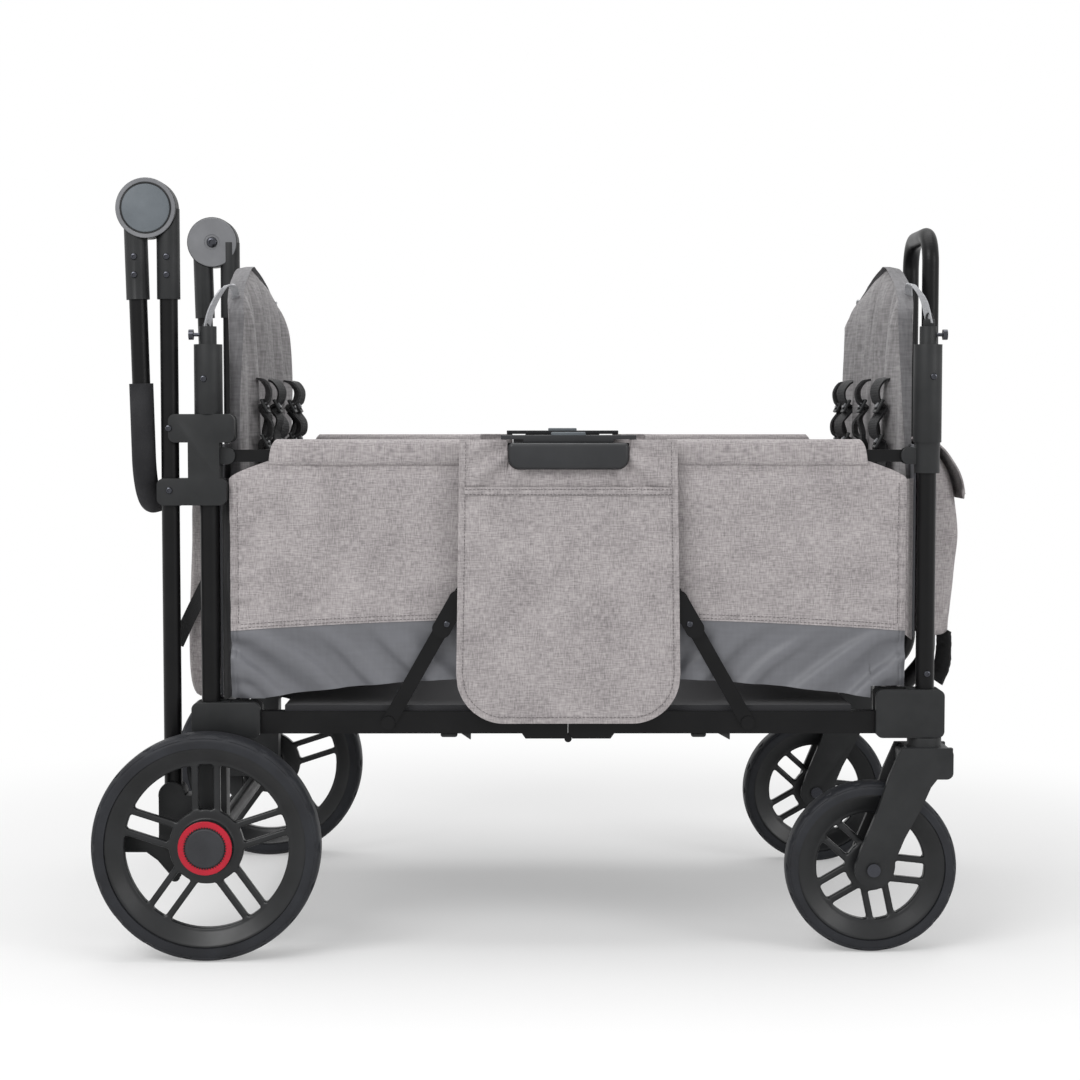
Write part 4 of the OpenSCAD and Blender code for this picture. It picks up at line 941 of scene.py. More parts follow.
BRAKE_ARM = [
    (-0.561, 0.159), (-0.532, 0.159), (-0.501, 0.148), (-0.476, 0.140), (-0.476, 0.113), (-0.480, 0.102),
    (-0.488, 0.095), (-0.495, 0.105), (-0.511, 0.124), (-0.526, 0.135), (-0.556, 0.135)]
BRAKE_EYE = (-0.488, 0.101)
BRAKE_IN, BRAKE_OUT = 0.300, 0.311
BRAKE_EDGE = 0.003
EYE_PROFILE = [(0.0022, -0.003), (0.0062, -0.003), (0.0068, 0), (0.0062, 0.003), (0.0022, 0.003)]
for side, sign in SIDES.items():
    arm = slab(BRAKE_ARM, sign * BRAKE_IN, sign * BRAKE_OUT, BRAKE_EDGE)
    eye = spun(EYE_PROFILE, (BRAKE_EYE[0], sign * (BRAKE_IN + BRAKE_OUT) / 2, BRAKE_EYE[1]), (0, 1, 0), 32)
    dress(joined([arm, eye]), "brake_arm_" + side, NYLON, "rear_frame")

# Side panels: heather canvas above the seam and coated cloth below it, hung between the posts

PANEL_FACE = 0.3034
PANEL_T = 0.0012
PANEL_RUN = 0.0275
PANEL_TOP = 0.664
STEP_RUN = 0.079
STEP_END = 0.640
EDGE_SEAM_RUN = 0.0355
SEAM_MID = 0.452
SEAM_END = 0.433
FOOT_MID = 0.373
FOOT_END = 0.345
FOOT_RUN = 0.074
FOOT_CORNER = {"rear": 0.344, "front": 0.361}
HUB_HALF = 0.048
HUB_CUT_Z = 0.632
SWELL_OUT, SWELL_IN = 0.0042, 0.0100
# The relief of the hung cloth: how deep each kind of wave is, and how far apart its waves lie
SAG_DEPTH, SAG_SIZE = 0.0022, 0.13
DIMPLE_DEPTH, DIMPLE_SIZE = 0.0014, 0.06
BULGE_DEPTH, BULGE_RISE, BULGE_FALL = 0.0034, (0.56, 0.632), (0.634, 0.655)
TUCK_DEPTH, TUCK_RISE = 0.0030, (0.640, 0.657)
SEAM_DEPTH, SEAM_HALF = 0.0020, 0.0016
PUCKER_DEPTH, PUCKER_SIZE, PUCKER_REACH = 0.0036, 0.022, 0.028
CRIMP_DEPTH, CRIMP_PITCH = 0.0012, 0.0042
WRAP_DEPTH = 0.0040
FOLD_ZONE = 0.03
FOLD_DEPTH, FOLD_PITCH = 0.0050, 0.0120
SMALL_FOLD_DEPTH, SMALL_FOLD_PITCH = 0.0014, 0.0052
FOLD_SINK = 0.0020
FOLD_WANDER, FOLD_WANDER_SIZE = 0.02, 0.11
CREASE_DEPTH, CREASE_PITCH, CREASE_REACH = 0.0040, 0.0092, 0.19
CREASE_RUN, CREASE_Z, CREASE_SIZE = 0.05, 0.40, 0.07


def panel_end(x):
    """The end that a place along the side is nearer to, and its distance from the posts there."""
    end = "rear" if x < MID_X else "front"
    return end, abs(x - POST_X[end])


def panel_top(x):
    """The upper edge, tucked behind the rail sleeves and falling away to the posts."""
    if abs(x - MID_X) < HUB_HALF:
        return HUB_CUT_Z
    run = panel_end(x)[1]
    return STEP_END + (PANEL_TOP - STEP_END) * min(1.0, (run - PANEL_RUN) / (STEP_RUN - PANEL_RUN)) ** 0.7


def panel_seam(x):
    """The seam between the two cloths, which rises towards the middle."""
    return SEAM_MID - (SEAM_MID - SEAM_END) * abs((x - MID_X) / HALF_SPAN) ** 2


def panel_foot(x):
    """The lower edge, level beside the posts and rising towards the middle."""
    end, run = panel_end(x)
    if run < FOOT_RUN:
        return FOOT_CORNER[end]
    return FOOT_MID - (FOOT_MID - FOOT_END) * abs((x - MID_X) / (HALF_SPAN - FOOT_RUN)) ** 2.2


def panel_swell(x, z):
    """How far the hung cloth stands out: a bulge under the rail, puckered edges and slanting folds below."""
    end, run = panel_end(x)
    below = 1 - ease(z, SEAM_END - FOLD_ZONE, SEAM_MID)
    sag = SAG_DEPTH * ripple(x, z * 0.5, 1, SAG_SIZE) + DIMPLE_DEPTH * ripple(x, z, 2, DIMPLE_SIZE)
    bulge = BULGE_DEPTH * ease(z, *BULGE_RISE) * (1 - ease(z, *BULGE_FALL)) - TUCK_DEPTH * ease(z, *TUCK_RISE)
    seam = math.exp(-((run - EDGE_SEAM_RUN) / SEAM_HALF) ** 2)
    drawn = math.exp(-(max(0.0, run - EDGE_SEAM_RUN) / PUCKER_REACH) ** 2)
    crimp = CRIMP_DEPTH * math.sin(z / CRIMP_PITCH)
    pucker = drawn * (PUCKER_DEPTH * ripple(run * 0.5, z, 8, PUCKER_SIZE) + crimp)
    wrap = -WRAP_DEPTH * (1 - ease(run, PANEL_RUN, EDGE_SEAM_RUN))
    slant = ENDS[end] * (x - MID_X) * 0.8 + z + FOLD_WANDER * ripple(x, z, 3, FOLD_WANDER_SIZE)
    small = SMALL_FOLD_DEPTH * math.sin(slant / SMALL_FOLD_PITCH + 1.1)
    folds = below * (FOLD_DEPTH * math.sin(slant / FOLD_PITCH) + small - FOLD_SINK)
    near = max(0.0, 1 - math.hypot(run - CREASE_RUN, (z - CREASE_Z) * 1.1) / CREASE_REACH)
    turn = (run * 0.75 + z) / CREASE_PITCH + 1.3 * ripple(x, z, 4, CREASE_SIZE)
    crease = CREASE_DEPTH * near * below * math.sin(turn)
    total = sag + bulge - SEAM_DEPTH * seam + pucker + wrap + folds + crease
    limit = SWELL_OUT if total > 0 else SWELL_IN
    return limit * math.tanh(total / limit)


EDGE_STEP = 0.0005


def panel_stations(end):
    """Places along one half of a side, closer together at the posts' seam and at each step in its edges."""
    foot, hub = FOOT_RUN - EDGE_STEP, HALF_SPAN - HUB_HALF - EDGE_STEP
    runs = spaced(
        (PANEL_RUN, EDGE_SEAM_RUN, 6), (EDGE_SEAM_RUN, foot, 18), (foot, FOOT_RUN, 1),
        (FOOT_RUN, STEP_RUN, 2), (STEP_RUN, hub, 110), (hub, hub + 2 * EDGE_STEP, 1),
        (hub + 2 * EDGE_STEP, HALF_SPAN, 12))
    return sorted(POST_X[end] + ENDS[end] * run for run in runs)


GATHER_RUN = 0.0135
SEAM_LAP = 0.004
UPPER_ROWS, UPPER_OUT, UPPER_AREA_SHARE = 90, 0.0009, 0.92
LOWER_ROWS, LOWER_OUT, LOWER_AREA_SHARE = 44, -0.0002, 0.82
THREAD_OUT = 0.0010
SEAM_LIFTS = (0.003, 0.008)
SEAM_INSET = 0.003
EDGE_THREAD_IN = 0.0028
EDGE_THREAD_LOW, EDGE_THREAD_TOP = SEAM_END + 0.012, STEP_END - 0.004


def side_panel(end, side):
    """Half of a side's cloth, from its posts to the middle behind the flap: two cloths and their seams."""
    sign = SIDES[side]
    stations = panel_stations(end)
    place = end + "_" + side

    def face(x, z, out=0.0):
        return Vector((x, sign * (PANEL_FACE + panel_swell(x, z) + out), z))

    def strip(low, high, rows, out):
        def spot(x, v):
            return x, low(x) + v * (high(x) - low(x))
        return cloth(stations, spaced((0, 1, rows)), lambda x, v: face(*spot(x, v), out), spot, PANEL_T)

    upper = strip(panel_seam, panel_top, UPPER_ROWS, UPPER_OUT)
    lower = strip(panel_foot, lambda x: panel_seam(x) + SEAM_LAP, LOWER_ROWS, LOWER_OUT)
    dress(upper, "side_panel_upper_" + place, HEATHER, end + "_frame")
    if end == "rear":
        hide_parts("side_panel_" + side)
    dress(lower, "side_panel_lower_" + place, SMOOTH, end + "_frame")

    thread_out = PANEL_T / 2 + THREAD_OUT
    span = spaced((stations[0] + SEAM_INSET, stations[-1] - SEAM_INSET, 80))
    rows = [[face(x, panel_seam(x) + lift, thread_out) for x in span] for lift in SEAM_LIFTS]
    x = POST_X[end] + ENDS[end] * (EDGE_SEAM_RUN + EDGE_THREAD_IN)
    rows.append([face(x, z, thread_out) for z in spaced((EDGE_THREAD_LOW, EDGE_THREAD_TOP, 60))])
    threads = joined([stitch_row(row, (0, sign, 0)) for row in rows])
    dress(threads, "side_panel_stitches_" + place, THREAD, end + "_frame")

    for piece in (upper, lower, threads):
        inside(end, GATHER_RUN, 0, 0)
        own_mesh(piece)


for end, side in CORNERS:
    side_panel(end, side)

# Rail sleeves: the panels' rolled upper edge round the top rails

SLEEVE_LOW, SLEEVE_TOP = 0.6575, 0.6932
SLEEVE_IN, SLEEVE_OUT = 0.2864, 0.3080
SLEEVE_START = 0.0797
SLEEVE_END = HALF_SPAN - 0.132
SLEEVE_SLANT, SLEEVE_ROUND = 0.005, 0.006
SLEEVE_HEM = 0.02
SLEEVE_PUFF, SLEEVE_PUFF_SIZE = 0.05, 0.07
SLEEVE_T = 0.0012
SLEEVE_RING = 0.100


def rail_sleeve(end, side):
    """One sleeve: a soft roll round its rail, slanted and rounded at its outer end."""
    middle = ((SLEEVE_IN + SLEEVE_OUT) / 2, (SLEEVE_LOW + SLEEVE_TOP) / 2)
    half = ((SLEEVE_OUT - SLEEVE_IN) / 2, (SLEEVE_TOP - SLEEVE_LOW) / 2)

    def place(run, turn):
        c, s = math.cos(turn), math.sin(turn)
        puff = 1 + SLEEVE_PUFF * ripple(run, turn, 9, SLEEVE_PUFF_SIZE)
        y = middle[0] + half[0] * puff * math.copysign(abs(c) ** 0.7, c)
        z = middle[1] + half[1] * math.copysign(abs(s) ** 0.62, s)
        height = (z - SLEEVE_LOW) / (SLEEVE_TOP - SLEEVE_LOW)
        near = 1 - ease(run, SLEEVE_START, SLEEVE_START + SLEEVE_HEM)
        shift = near * (SLEEVE_SLANT * height + SLEEVE_ROUND * max(0.0, height) ** 6)
        return inside(end, run + shift, SIDES[side] * y, z)

    hem = SLEEVE_START + SLEEVE_HEM
    runs = spaced((SLEEVE_START, hem, 8), (hem, SLEEVE_END, 60))
    turns = spaced((-math.pi / 2, 1.5 * math.pi, 44))
    piece = mended(cloth(runs, turns, place, lambda run, turn: (run, turn / math.tau * SLEEVE_RING)))
    modify(piece, "SOLIDIFY", thickness=SLEEVE_T, offset=-1)
    smooth(piece, 60)
    dress(piece, "rail_sleeve_" + end + "_" + side, HEATHER, end + "_top_rail")


for end, side in CORNERS:
    rail_sleeve(end, side)

# Corner strips that close the gap between the end walls and the side panels

# The rear strips are black: painted shade of the shadowed gap beside the rear posts. The front strips are
# heather.
STRIP_PLACES = {"rear": (LINING_AND_SHADE_CLOTH, 0.346, 0.640), "front": (HEATHER, 0.430, 0.640)}
STRIP_SLANT = 0.009
STRIP_RUN, STRIP_RUN_ON = 0.0150, 0.0120
STRIP_Y, STRIP_Y_ON = 0.2795, 0.0180
STRIP_WAVE, STRIP_WAVE_SIZE = 0.0012, 0.15
STRIP_W, STRIP_FLAT_W = 0.023, 0.024
STRIP_T = 0.0012


def corner_strip(end, side):
    """A narrow upright strip from a wall's edge to the panel's edge, with a slanted hem."""
    finish, low, high = STRIP_PLACES[end]

    def place(u, v):
        foot = low - STRIP_SLANT * (1 - u)
        run = STRIP_RUN + STRIP_RUN_ON * u
        wave = STRIP_WAVE * ripple(u, v, 12, STRIP_WAVE_SIZE)
        y = STRIP_Y + STRIP_Y_ON * math.sin(u * math.pi / 2) + wave
        return inside(end, run, SIDES[side] * y, foot + v * (high - foot))

    def lay(u, v):
        return u * STRIP_W, v * (high - low)

    piece = cloth(spaced((0, 1, 8)), spaced((0, 1, 50)), place, lay, STRIP_T)
    dress(piece, "corner_strip_" + end + "_" + side, finish, end + "_frame")


for end, side in CORNERS:
    corner_strip(end, side)

# Centre flaps: a pocket hung from each side hub

FLAP_FACE = 0.3243
FLAP_T = 0.0016
FLAP_TOP = 0.693
FLAP_FOOT = 0.313
FLAP_HALF_TOP = 0.145
FLAP_HALF_FOOT = 0.151
FLAP_R = 0.066
FLAP_FIT = 0.0008
POCKET_TOP = 0.629
EDGE_STITCH, EDGE_STITCH_TOP = 0.0085, FLAP_TOP - 0.002
FLAP_MIDDLE_Z = FLAP_FOOT + 0.16
# The rows of a layer are level up to the knee, and follow its upper edge above it
FLAP_KNEE = 0.640
KNEE_V = 0.84
KNEE_UNDER = 0.012
# The flap's relief: how deep each kind of wave is, and how far apart its waves lie
FLAP_FULL = 0.0048
FLAP_GATHER, GATHER_RISE, GATHER_FALL = 0.0080, (0.575, 0.640), (0.672, 0.693)
GATHER_FAN_HALF, GATHER_FAN_Z, GATHER_FAN_SIZE = 0.035, 0.706, 0.06
DRAPE_DEPTH, DRAPE_SIZE = 0.0020, 0.09
STREAK_DEPTH, STREAK_SIZE = 0.0014, 0.045
LAYER_GAP = 0.0008
HEM_W, HEM_T, HEM_ROUND, HEM_OVER = 0.011, 0.0010, 0.0009, 0.001
HEM_SHARE = 0.945
HEM_THREADS = (0.0022, 0.0090)
HEM_THREAD_OUT, EDGE_THREAD_OUT = 0.0022, 0.0011


def flap_half(z):
    """Half the flap's width at a height."""
    return FLAP_HALF_FOOT + (FLAP_HALF_TOP - FLAP_HALF_FOOT) * (z - FLAP_FOOT) / (FLAP_TOP - FLAP_FOOT)


def flap_low(u):
    """The lower edge at a share u of the half width, with its round corners."""
    past = abs(u) * FLAP_HALF_FOOT - (FLAP_HALF_FOOT - FLAP_R)
    if past <= 0:
        return FLAP_FOOT
    return FLAP_FOOT + FLAP_R - math.sqrt(max(0.0, FLAP_R ** 2 - past ** 2))


CUT_FOOT_U = (HUB_BODY_HALF - GRIP_LOW_R) / FLAP_HALF_TOP
CUT_SIDE_U = (HUB_BODY_HALF + FLAP_FIT) / FLAP_HALF_TOP
CUT_STEP_U = 0.004


def flap_high(u):
    """The upper edge, cut to the outline of the grab handle."""
    foot = HUB_BODY_FOOT - FLAP_FIT
    if abs(u) > CUT_SIDE_U + CUT_STEP_U / 4:
        return FLAP_TOP
    climb = max(0.0, min(1.0, (abs(u) - CUT_FOOT_U) / (CUT_SIDE_U - CUT_FOOT_U)))
    return foot + GRIP_LOW_R * (1 - math.sqrt(1 - climb * climb))


def flap_swell(x, z):
    """How far the flap stands out: full at its middle, with gathers that slant from the handle's ends."""
    u = (x - MID_X) / flap_half(z)
    v = (z - FLAP_FOOT) / (FLAP_TOP - FLAP_FOOT)
    full = FLAP_FULL * (1 - min(1, abs(u)) ** 2.4) * math.sin(math.pi * min(1, max(0, v)) ** 0.8)
    spread = math.atan2(abs(x - MID_X) - GATHER_FAN_HALF, GATHER_FAN_Z - z)
    near = ease(z, *GATHER_RISE) * (1 - 0.4 * ease(z, *GATHER_FALL)) * (1 - ease(abs(u), 0.86, 1.0))
    fold = math.sin(spread * 15 + 1.4 * ripple(x, z, 4, GATHER_FAN_SIZE))
    gather = FLAP_GATHER * near * (0.5 + 0.5 * fold) * ease(abs(u), 0.25, 0.5)
    drape = DRAPE_DEPTH * ripple(x, z, 5, DRAPE_SIZE) + STREAK_DEPTH * ripple(x, z * 0.35, 6, STREAK_SIZE)
    return full + gather + drape


FLAP_HALF_U = spaced(
    (0, CUT_FOOT_U, 24), (CUT_FOOT_U, CUT_SIDE_U, 9), (CUT_SIDE_U, CUT_SIDE_U + CUT_STEP_U, 1),
    (CUT_SIDE_U + CUT_STEP_U, 1, 32))
FLAP_U = [-u for u in reversed(FLAP_HALF_U[1:])] + FLAP_HALF_U


def side_flap(side):
    """One flap with its pocket, hem and stitching."""
    sign = SIDES[side]

    def face(x, z, out):
        return Vector((x, sign * (FLAP_FACE + max(0, flap_swell(x, z)) + out), z))

    def layer(top, out):
        def spot(u, v):
            low, high = flap_low(u), top(u)
            knee = min(FLAP_KNEE, high - KNEE_UNDER)
            over = max(0.0, v - KNEE_V) / (1 - KNEE_V)
            z = low + (knee - low) * min(1.0, v / KNEE_V) + over * (high - knee)
            return MID_X + u * flap_half(z), z
        return cloth(FLAP_U, spaced((0, 1, 84)), lambda u, v: face(*spot(u, v), out), spot, FLAP_T)

    back = layer(flap_high, 0)
    pocket = layer(lambda u: POCKET_TOP, FLAP_T + LAYER_GAP)
    climb = spaced((flap_low(1), EDGE_STITCH_TOP, 40))
    edge = [Vector((MID_X - flap_half(z), z)) for z in reversed(climb)]
    edge += [Vector((MID_X + u * flap_half(flap_low(u)), flap_low(u))) for u in FLAP_U[1:-1]]
    edge += [Vector((MID_X + flap_half(z), z)) for z in climb]
    middle = Vector((MID_X, FLAP_MIDDLE_Z))

    def inward(i):
        way = edge[min(i + 1, len(edge) - 1)] - edge[max(i - 1, 0)]
        side_way = Vector((-way.y, way.x)).normalized()
        return side_way if side_way.dot(middle - edge[i]) > 0 else -side_way

    def edge_seam(i):
        spot = edge[i] + inward(i) * EDGE_STITCH
        return face(spot.x, spot.y, 2 * FLAP_T + EDGE_THREAD_OUT)

    def hem_place(x, v):
        out = 2 * FLAP_T + LAYER_GAP + HEM_ROUND * math.sin(math.pi * v)
        return face(MID_X + x, POCKET_TOP - HEM_W * v + HEM_OVER, out)

    hem_half = HEM_SHARE * flap_half(POCKET_TOP)
    hem = cloth(
        spaced((-hem_half, hem_half, 70)), spaced((0, 1, 5)), hem_place, lambda x, v: (x, v * HEM_W), HEM_T)
    rows = [[edge_seam(i) for i in range(0, len(edge), 2)]]
    for drop in HEM_THREADS:
        span = spaced((-hem_half, hem_half, 60))
        rows.append([face(MID_X + x, POCKET_TOP - drop, 2 * FLAP_T + HEM_THREAD_OUT) for x in span])
    threads = joined([stitch_row(row, (0, sign, 0)) for row in rows])
    dress(back, "flap_back_" + side, HEATHER, "side_hub")
    dress(pocket, "flap_pocket_" + side, HEATHER, "side_hub")
    dress(hem, "flap_hem_" + side, HEATHER, "side_hub")
    dress(threads, "flap_stitches_" + side, THREAD, "side_hub")


for side in SIDES:
    side_flap(side)

# End walls and seat backs

WALL_RUN = 0.0123
WALL_T = 0.0030
WALL_HALF = 0.279
WALL_LOW = 0.3425
WALL_TOP = 0.686
WALL_LOW_HALF = {"rear": 0.279, "front": 0.200}
WALL_CUT_Z, WALL_CUT_STEP = 0.424, 0.001
WALL_WAVE, WALL_WAVE_SIZE = 0.0006, 0.12
BACK_HALF = 0.250
BACK_FOOT = 0.514
SHOULDER_Z = 0.862
CREST = 0.078
# A back's distances from its posts: its rear, and its front at the right and the left edge
BACK_PLAN = {"rear": (0.0215, 0.0390, 0.0465), "front": (0.0128, 0.0225, 0.0385)}
BACK_LEAN = 0.021
BACK_ROUND = 0.0035
BACK_CROWN = 0.0020
BACK_FOLD = 0.0170
BACK_WAVE, BACK_WAVE_SIZE = 0.0012, 0.3
GUSSET_SWELL, GUSSET_WAVE, GUSSET_WAVE_SIZE = 0.0022, 0.0012, 0.03
GUSSET_SIDE = BACK_HALF - 0.0005
BACK_SEEDS = {"rear": 10, "front": 23}


def end_wall(end):
    """The cloth wall under and behind a seat back."""
    def half(z):
        return WALL_HALF if z >= WALL_CUT_Z else WALL_LOW_HALF[end]

    def place(u, z):
        return inside(end, WALL_RUN + WALL_WAVE * ripple(u, z, 6, WALL_WAVE_SIZE), u * half(z), z)

    cut = WALL_CUT_Z - WALL_CUT_STEP
    levels = spaced((WALL_LOW, cut, 10), (cut, WALL_CUT_Z, 1), (WALL_CUT_Z, WALL_TOP, 26))
    wall = cloth(spaced((-1, 1, 44)), levels, place, lambda u, z: (u * half(z), z), WALL_T)
    dress(wall, "end_wall_" + end, SMOOTH, end + "_frame")


def crest(u):
    """The height of a seat back's upper edge: a soft gable."""
    return SHOULDER_Z + CREST * (1 - min(1, abs(u)) ** 1.2) ** 0.66


def back_fold(u, v, seed):
    """Upright hanging folds that run down from the crest and lean towards the middle."""
    swing = u * (1.12 - 0.14 * v) + 0.10 * ripple(u * 2, v * 1.3, seed, 1.0)
    deep = ease(v, 0.02, 0.22) * (1 - 0.55 * ease(v, 0.86, 1.0)) * (1 - abs(u) ** 8)
    wide = math.sin(swing * 13.5 + 0.9 + seed)
    wide = math.copysign(abs(wide) ** 0.7, wide)
    narrow = math.sin(swing * 31 + 1.7 + seed)
    return deep * (0.60 * wide + 0.40 * narrow + 0.35 * ripple(u, v * 0.18, seed + 3, 0.09))


def back_lean(u, v):
    """How far the unheld top of a seat back leans outwards."""
    return BACK_LEAN * (crest(u) - SHOULDER_Z) / CREST * v ** 4


def back_front(end, u, v):
    """A point on the folded front of a seat back."""
    right, left = BACK_PLAN[end][1:]
    rim = (1 - abs(u) ** 8) * (1 - (2 * v - 1) ** 12)
    fold = max(0.0, 0.45 + 0.5 * back_fold(u, v, BACK_SEEDS[end]))
    full = rim * (BACK_CROWN * (1 - u * u) + BACK_FOLD * fold)
    turned = BACK_ROUND * max(abs(u), v) ** 30
    run = right + (left - right) * (u + 1) / 2 + full - turned - back_lean(u, v)
    return inside(end, run, BACK_HALF * u, BACK_FOOT + v * (crest(u) - BACK_FOOT))


def back_rear(end, u, v):
    """A point on the plain rear of a seat back."""
    wave = BACK_WAVE * ripple(u, v, 14, BACK_WAVE_SIZE) * (1 - u * u)
    run = BACK_PLAN[end][0] + wave - back_lean(u, v)
    return inside(end, run, BACK_HALF * u, BACK_FOOT + v * (crest(u) - BACK_FOOT))


def seat_back(end):
    """A padded seat back: a folded front, a plain rear and a gusset between them in the same cloth painted
    darker as painted shade.
    """
    us, vs = spaced((-1, 1, 170)), spaced((0, 1, 80))

    def lay(u, v):
        return BACK_HALF * u, BACK_FOOT + v * (crest(u) - BACK_FOOT)

    face = cloth(us, vs, lambda u, v: back_front(end, u, v), lay)
    rear = cloth(us, vs, lambda u, v: back_rear(end, u, v), lay)
    gusset = len(face.data.vertices) + len(rear.data.vertices)
    piece = cushion(face, rear, 4)
    for vertex in list(piece.data.vertices)[gusset:]:
        swell = GUSSET_SWELL + GUSSET_WAVE * ripple(vertex.co.y, vertex.co.z, 15, GUSSET_WAVE_SIZE)
        if abs(vertex.co.y) > GUSSET_SIDE:
            vertex.co.y += math.copysign(swell, vertex.co.y)
        else:
            vertex.co.z += swell
    dress(piece, "seat_back_" + end, BRUSHED, end + "_frame", end + "_seat_back")
    # The gusset takes the darker copy of the cloth: painted shade on the seat back's edges
    piece.data.materials.append(SHADED_GUSSET_CLOTH)
    for polygon in piece.data.polygons:
        polygon.material_index = int(max(polygon.vertices) >= gusset)
    box_map(piece)
    smooth(piece, 75)


for end in ENDS:
    end_wall(end)
    seat_back(end)

# Harness: four shoulder straps at each seat, each looped through two sliders

HARNESS_Y = (-0.188, -0.068, 0.068, 0.188)
HARNESS_W = 0.019
HARNESS_T = 0.0030
HARNESS_TOP = 0.776
HARNESS_OUT = 0.0015
HARNESS_SWAY = 0.006
TAIL_SWAY, TAIL_DROP, TAIL_SHARE = 2.2, 0.003, 0.8
# Each row holds a strap's distance from the seat back's face and its height
HARNESS_WAY = [
    (-0.004, 0.776), (0.012, 0.773), (0.024, 0.760), (0.020, 0.744), (0.006, 0.736),
    (0.014, 0.727), (0.028, 0.713), (0.026, 0.697), (0.010, 0.688), (0.006, 0.672),
    (0.011, 0.640), (0.008, 0.600), (0.010, 0.560), (0.004, 0.524)]
TAIL_WAY = [(0.010, 0.735), (0.021, 0.722), (0.015, 0.700), (0.020, 0.668), (0.014, 0.640)]
SLIDERS = [(0.010, 0.738), (0.012, 0.689)]
SLIDER_SIZE = (0.030, 0.026, 0.026)
SLIDER_TILT, SLIDER_OUT = 0.5, 0.004


def slider():
    """A ladder slider 1 unit wide: two sides and three bars with rounded edges."""
    bars = [block((-0.5, y - 0.09, -0.07), (0.5, y + 0.09, 0.07), 0.05) for y in (-0.32, 0, 0.32)]
    sides = [block((x - 0.07, -0.41, -0.08), (x + 0.07, 0.41, 0.08), 0.05) for x in (-0.47, 0.47)]
    return joined(bars + sides)


def harness(end):
    """One seat's straps, loose tails and sliders."""
    straps, places = [], []
    for i, y in enumerate(HARNESS_Y):
        face = abs(back_front(end, y / BACK_HALF, 0.6).x - POST_X[end]) + HARNESS_OUT
        bow = 0.62 + 0.08 * (i % 3)
        sway = HARNESS_SWAY if i % 2 else -HARNESS_SWAY

        def hung(out, z, swing=1, drop=0.0):
            return inside(end, face + bow * out, y + swing * sway * (HARNESS_TOP - z) / 0.1, z - drop)

        way = [hung(*spot) for spot in HARNESS_WAY]
        straps.append(strap(way, (75 * sway, 0.85, 0.05), HARNESS_W, HARNESS_T, 90))
        tail = [hung(*spot, -TAIL_SWAY, TAIL_DROP * i) for spot in TAIL_WAY]
        straps.append(strap(tail, (0.5, 0.8, 0.1), HARNESS_W * TAIL_SHARE, HARNESS_T, 40))
        for spot in SLIDERS:
            out = Vector((ENDS[end], 0, 0))
            places.append(facing(hung(*spot) + SLIDER_OUT * out, out + SLIDER_TILT * UP, size=SLIDER_SIZE))
    dress(joined(straps), "harness_straps_" + end, WEBBING, end + "_frame")
    sliders = scattered(slider(), places)
    smooth(sliders, 40)
    dress(sliders, "harness_sliders_" + end, NYLON, end + "_frame")
    # Small pale blocks on each slider: painted highlights that stand for the buckles' glints
    glint_blocks = scattered(block((-0.22, -0.14, 0.05), (0.22, 0.14, 0.16), 0.03), places)
    smooth(glint_blocks, 40)
    dress(glint_blocks, "harness_painted_glints_" + end, PALE_ABS_AND_GLINT, end + "_frame")


for end in ENDS:
    harness(end)

# Tethers: grey elastic straps from the sockets to the seat backs, each with a hook

TETHER_W, TETHER_T = 0.014, 0.0022
HOOK_LOW, HOOK_HIGH, HOOK_EDGE = Vector((-0.0075, -0.004, -0.012)), Vector((0.0075, 0.004, 0.004)), 0.002
HOOK_WIDE, HOOK_TALL, HOOK_WIRE = 0.004, 0.006, 0.0014
HOOK_TURN = (-0.6, 3.7)
TETHER_WAYS = {
    "rear": [(-0.441, 0.296, 0.836), (-0.434, 0.290, 0.868), (-0.420, 0.276, 0.896), (-0.412, 0.248, 0.901),
             (-0.411, 0.224, 0.893), (-0.412, 0.214, 0.884)],
    "front": [(0.5285, 0.294, 0.850), (0.5225, 0.284, 0.880), (0.5140, 0.262, 0.899), (0.5120, 0.236, 0.9035),
              (0.5140, 0.214, 0.8990), (0.5160, 0.204, 0.890)],
}


def tether(end, side):
    """One strap that bows from the hook at a socket's neck over to the seat back's shoulder."""
    sign = SIDES[side]
    way = [Vector((x, sign * y, z)) for x, y, z in TETHER_WAYS[end]]
    piece = strap(way, (ENDS[end] * 0.45, -sign * 0.75, 0.2), TETHER_W, TETHER_T, 40)
    dress(piece, "tether_" + end + "_" + side, GREY_WEBBING, end + "_frame")
    foot = way[0]
    ring = [
        foot + Vector((HOOK_WIDE * math.cos(turn), 0, HOOK_TALL + HOOK_TALL * math.sin(turn)))
        for turn in spaced((*HOOK_TURN, 14))]
    hook = joined([block(foot + HOOK_LOW, foot + HOOK_HIGH, HOOK_EDGE), bent_wire(ring, HOOK_WIRE)])
    dress(hook, "tether_hook_" + end + "_" + side, NYLON, end + "_frame")


for end, side in CORNERS:
    tether(end, side)

# Bench pads: foam in coated cloth, blown up by a cloth simulation

PAD_RUN = 0.018
PAD_END = 0.280
PAD_HALF = 0.262
PAD_LOW = 0.459
PAD_TOP = 0.505
PAD_EDGE = 0.013
PAD_VOXEL = 0.006
PAD_SWELL = 0.006
PAD_PRESSURE, PAD_FRAMES = 4, 20
CHANNEL_W = 0.008
CHANNEL_DEPTH = 0.007


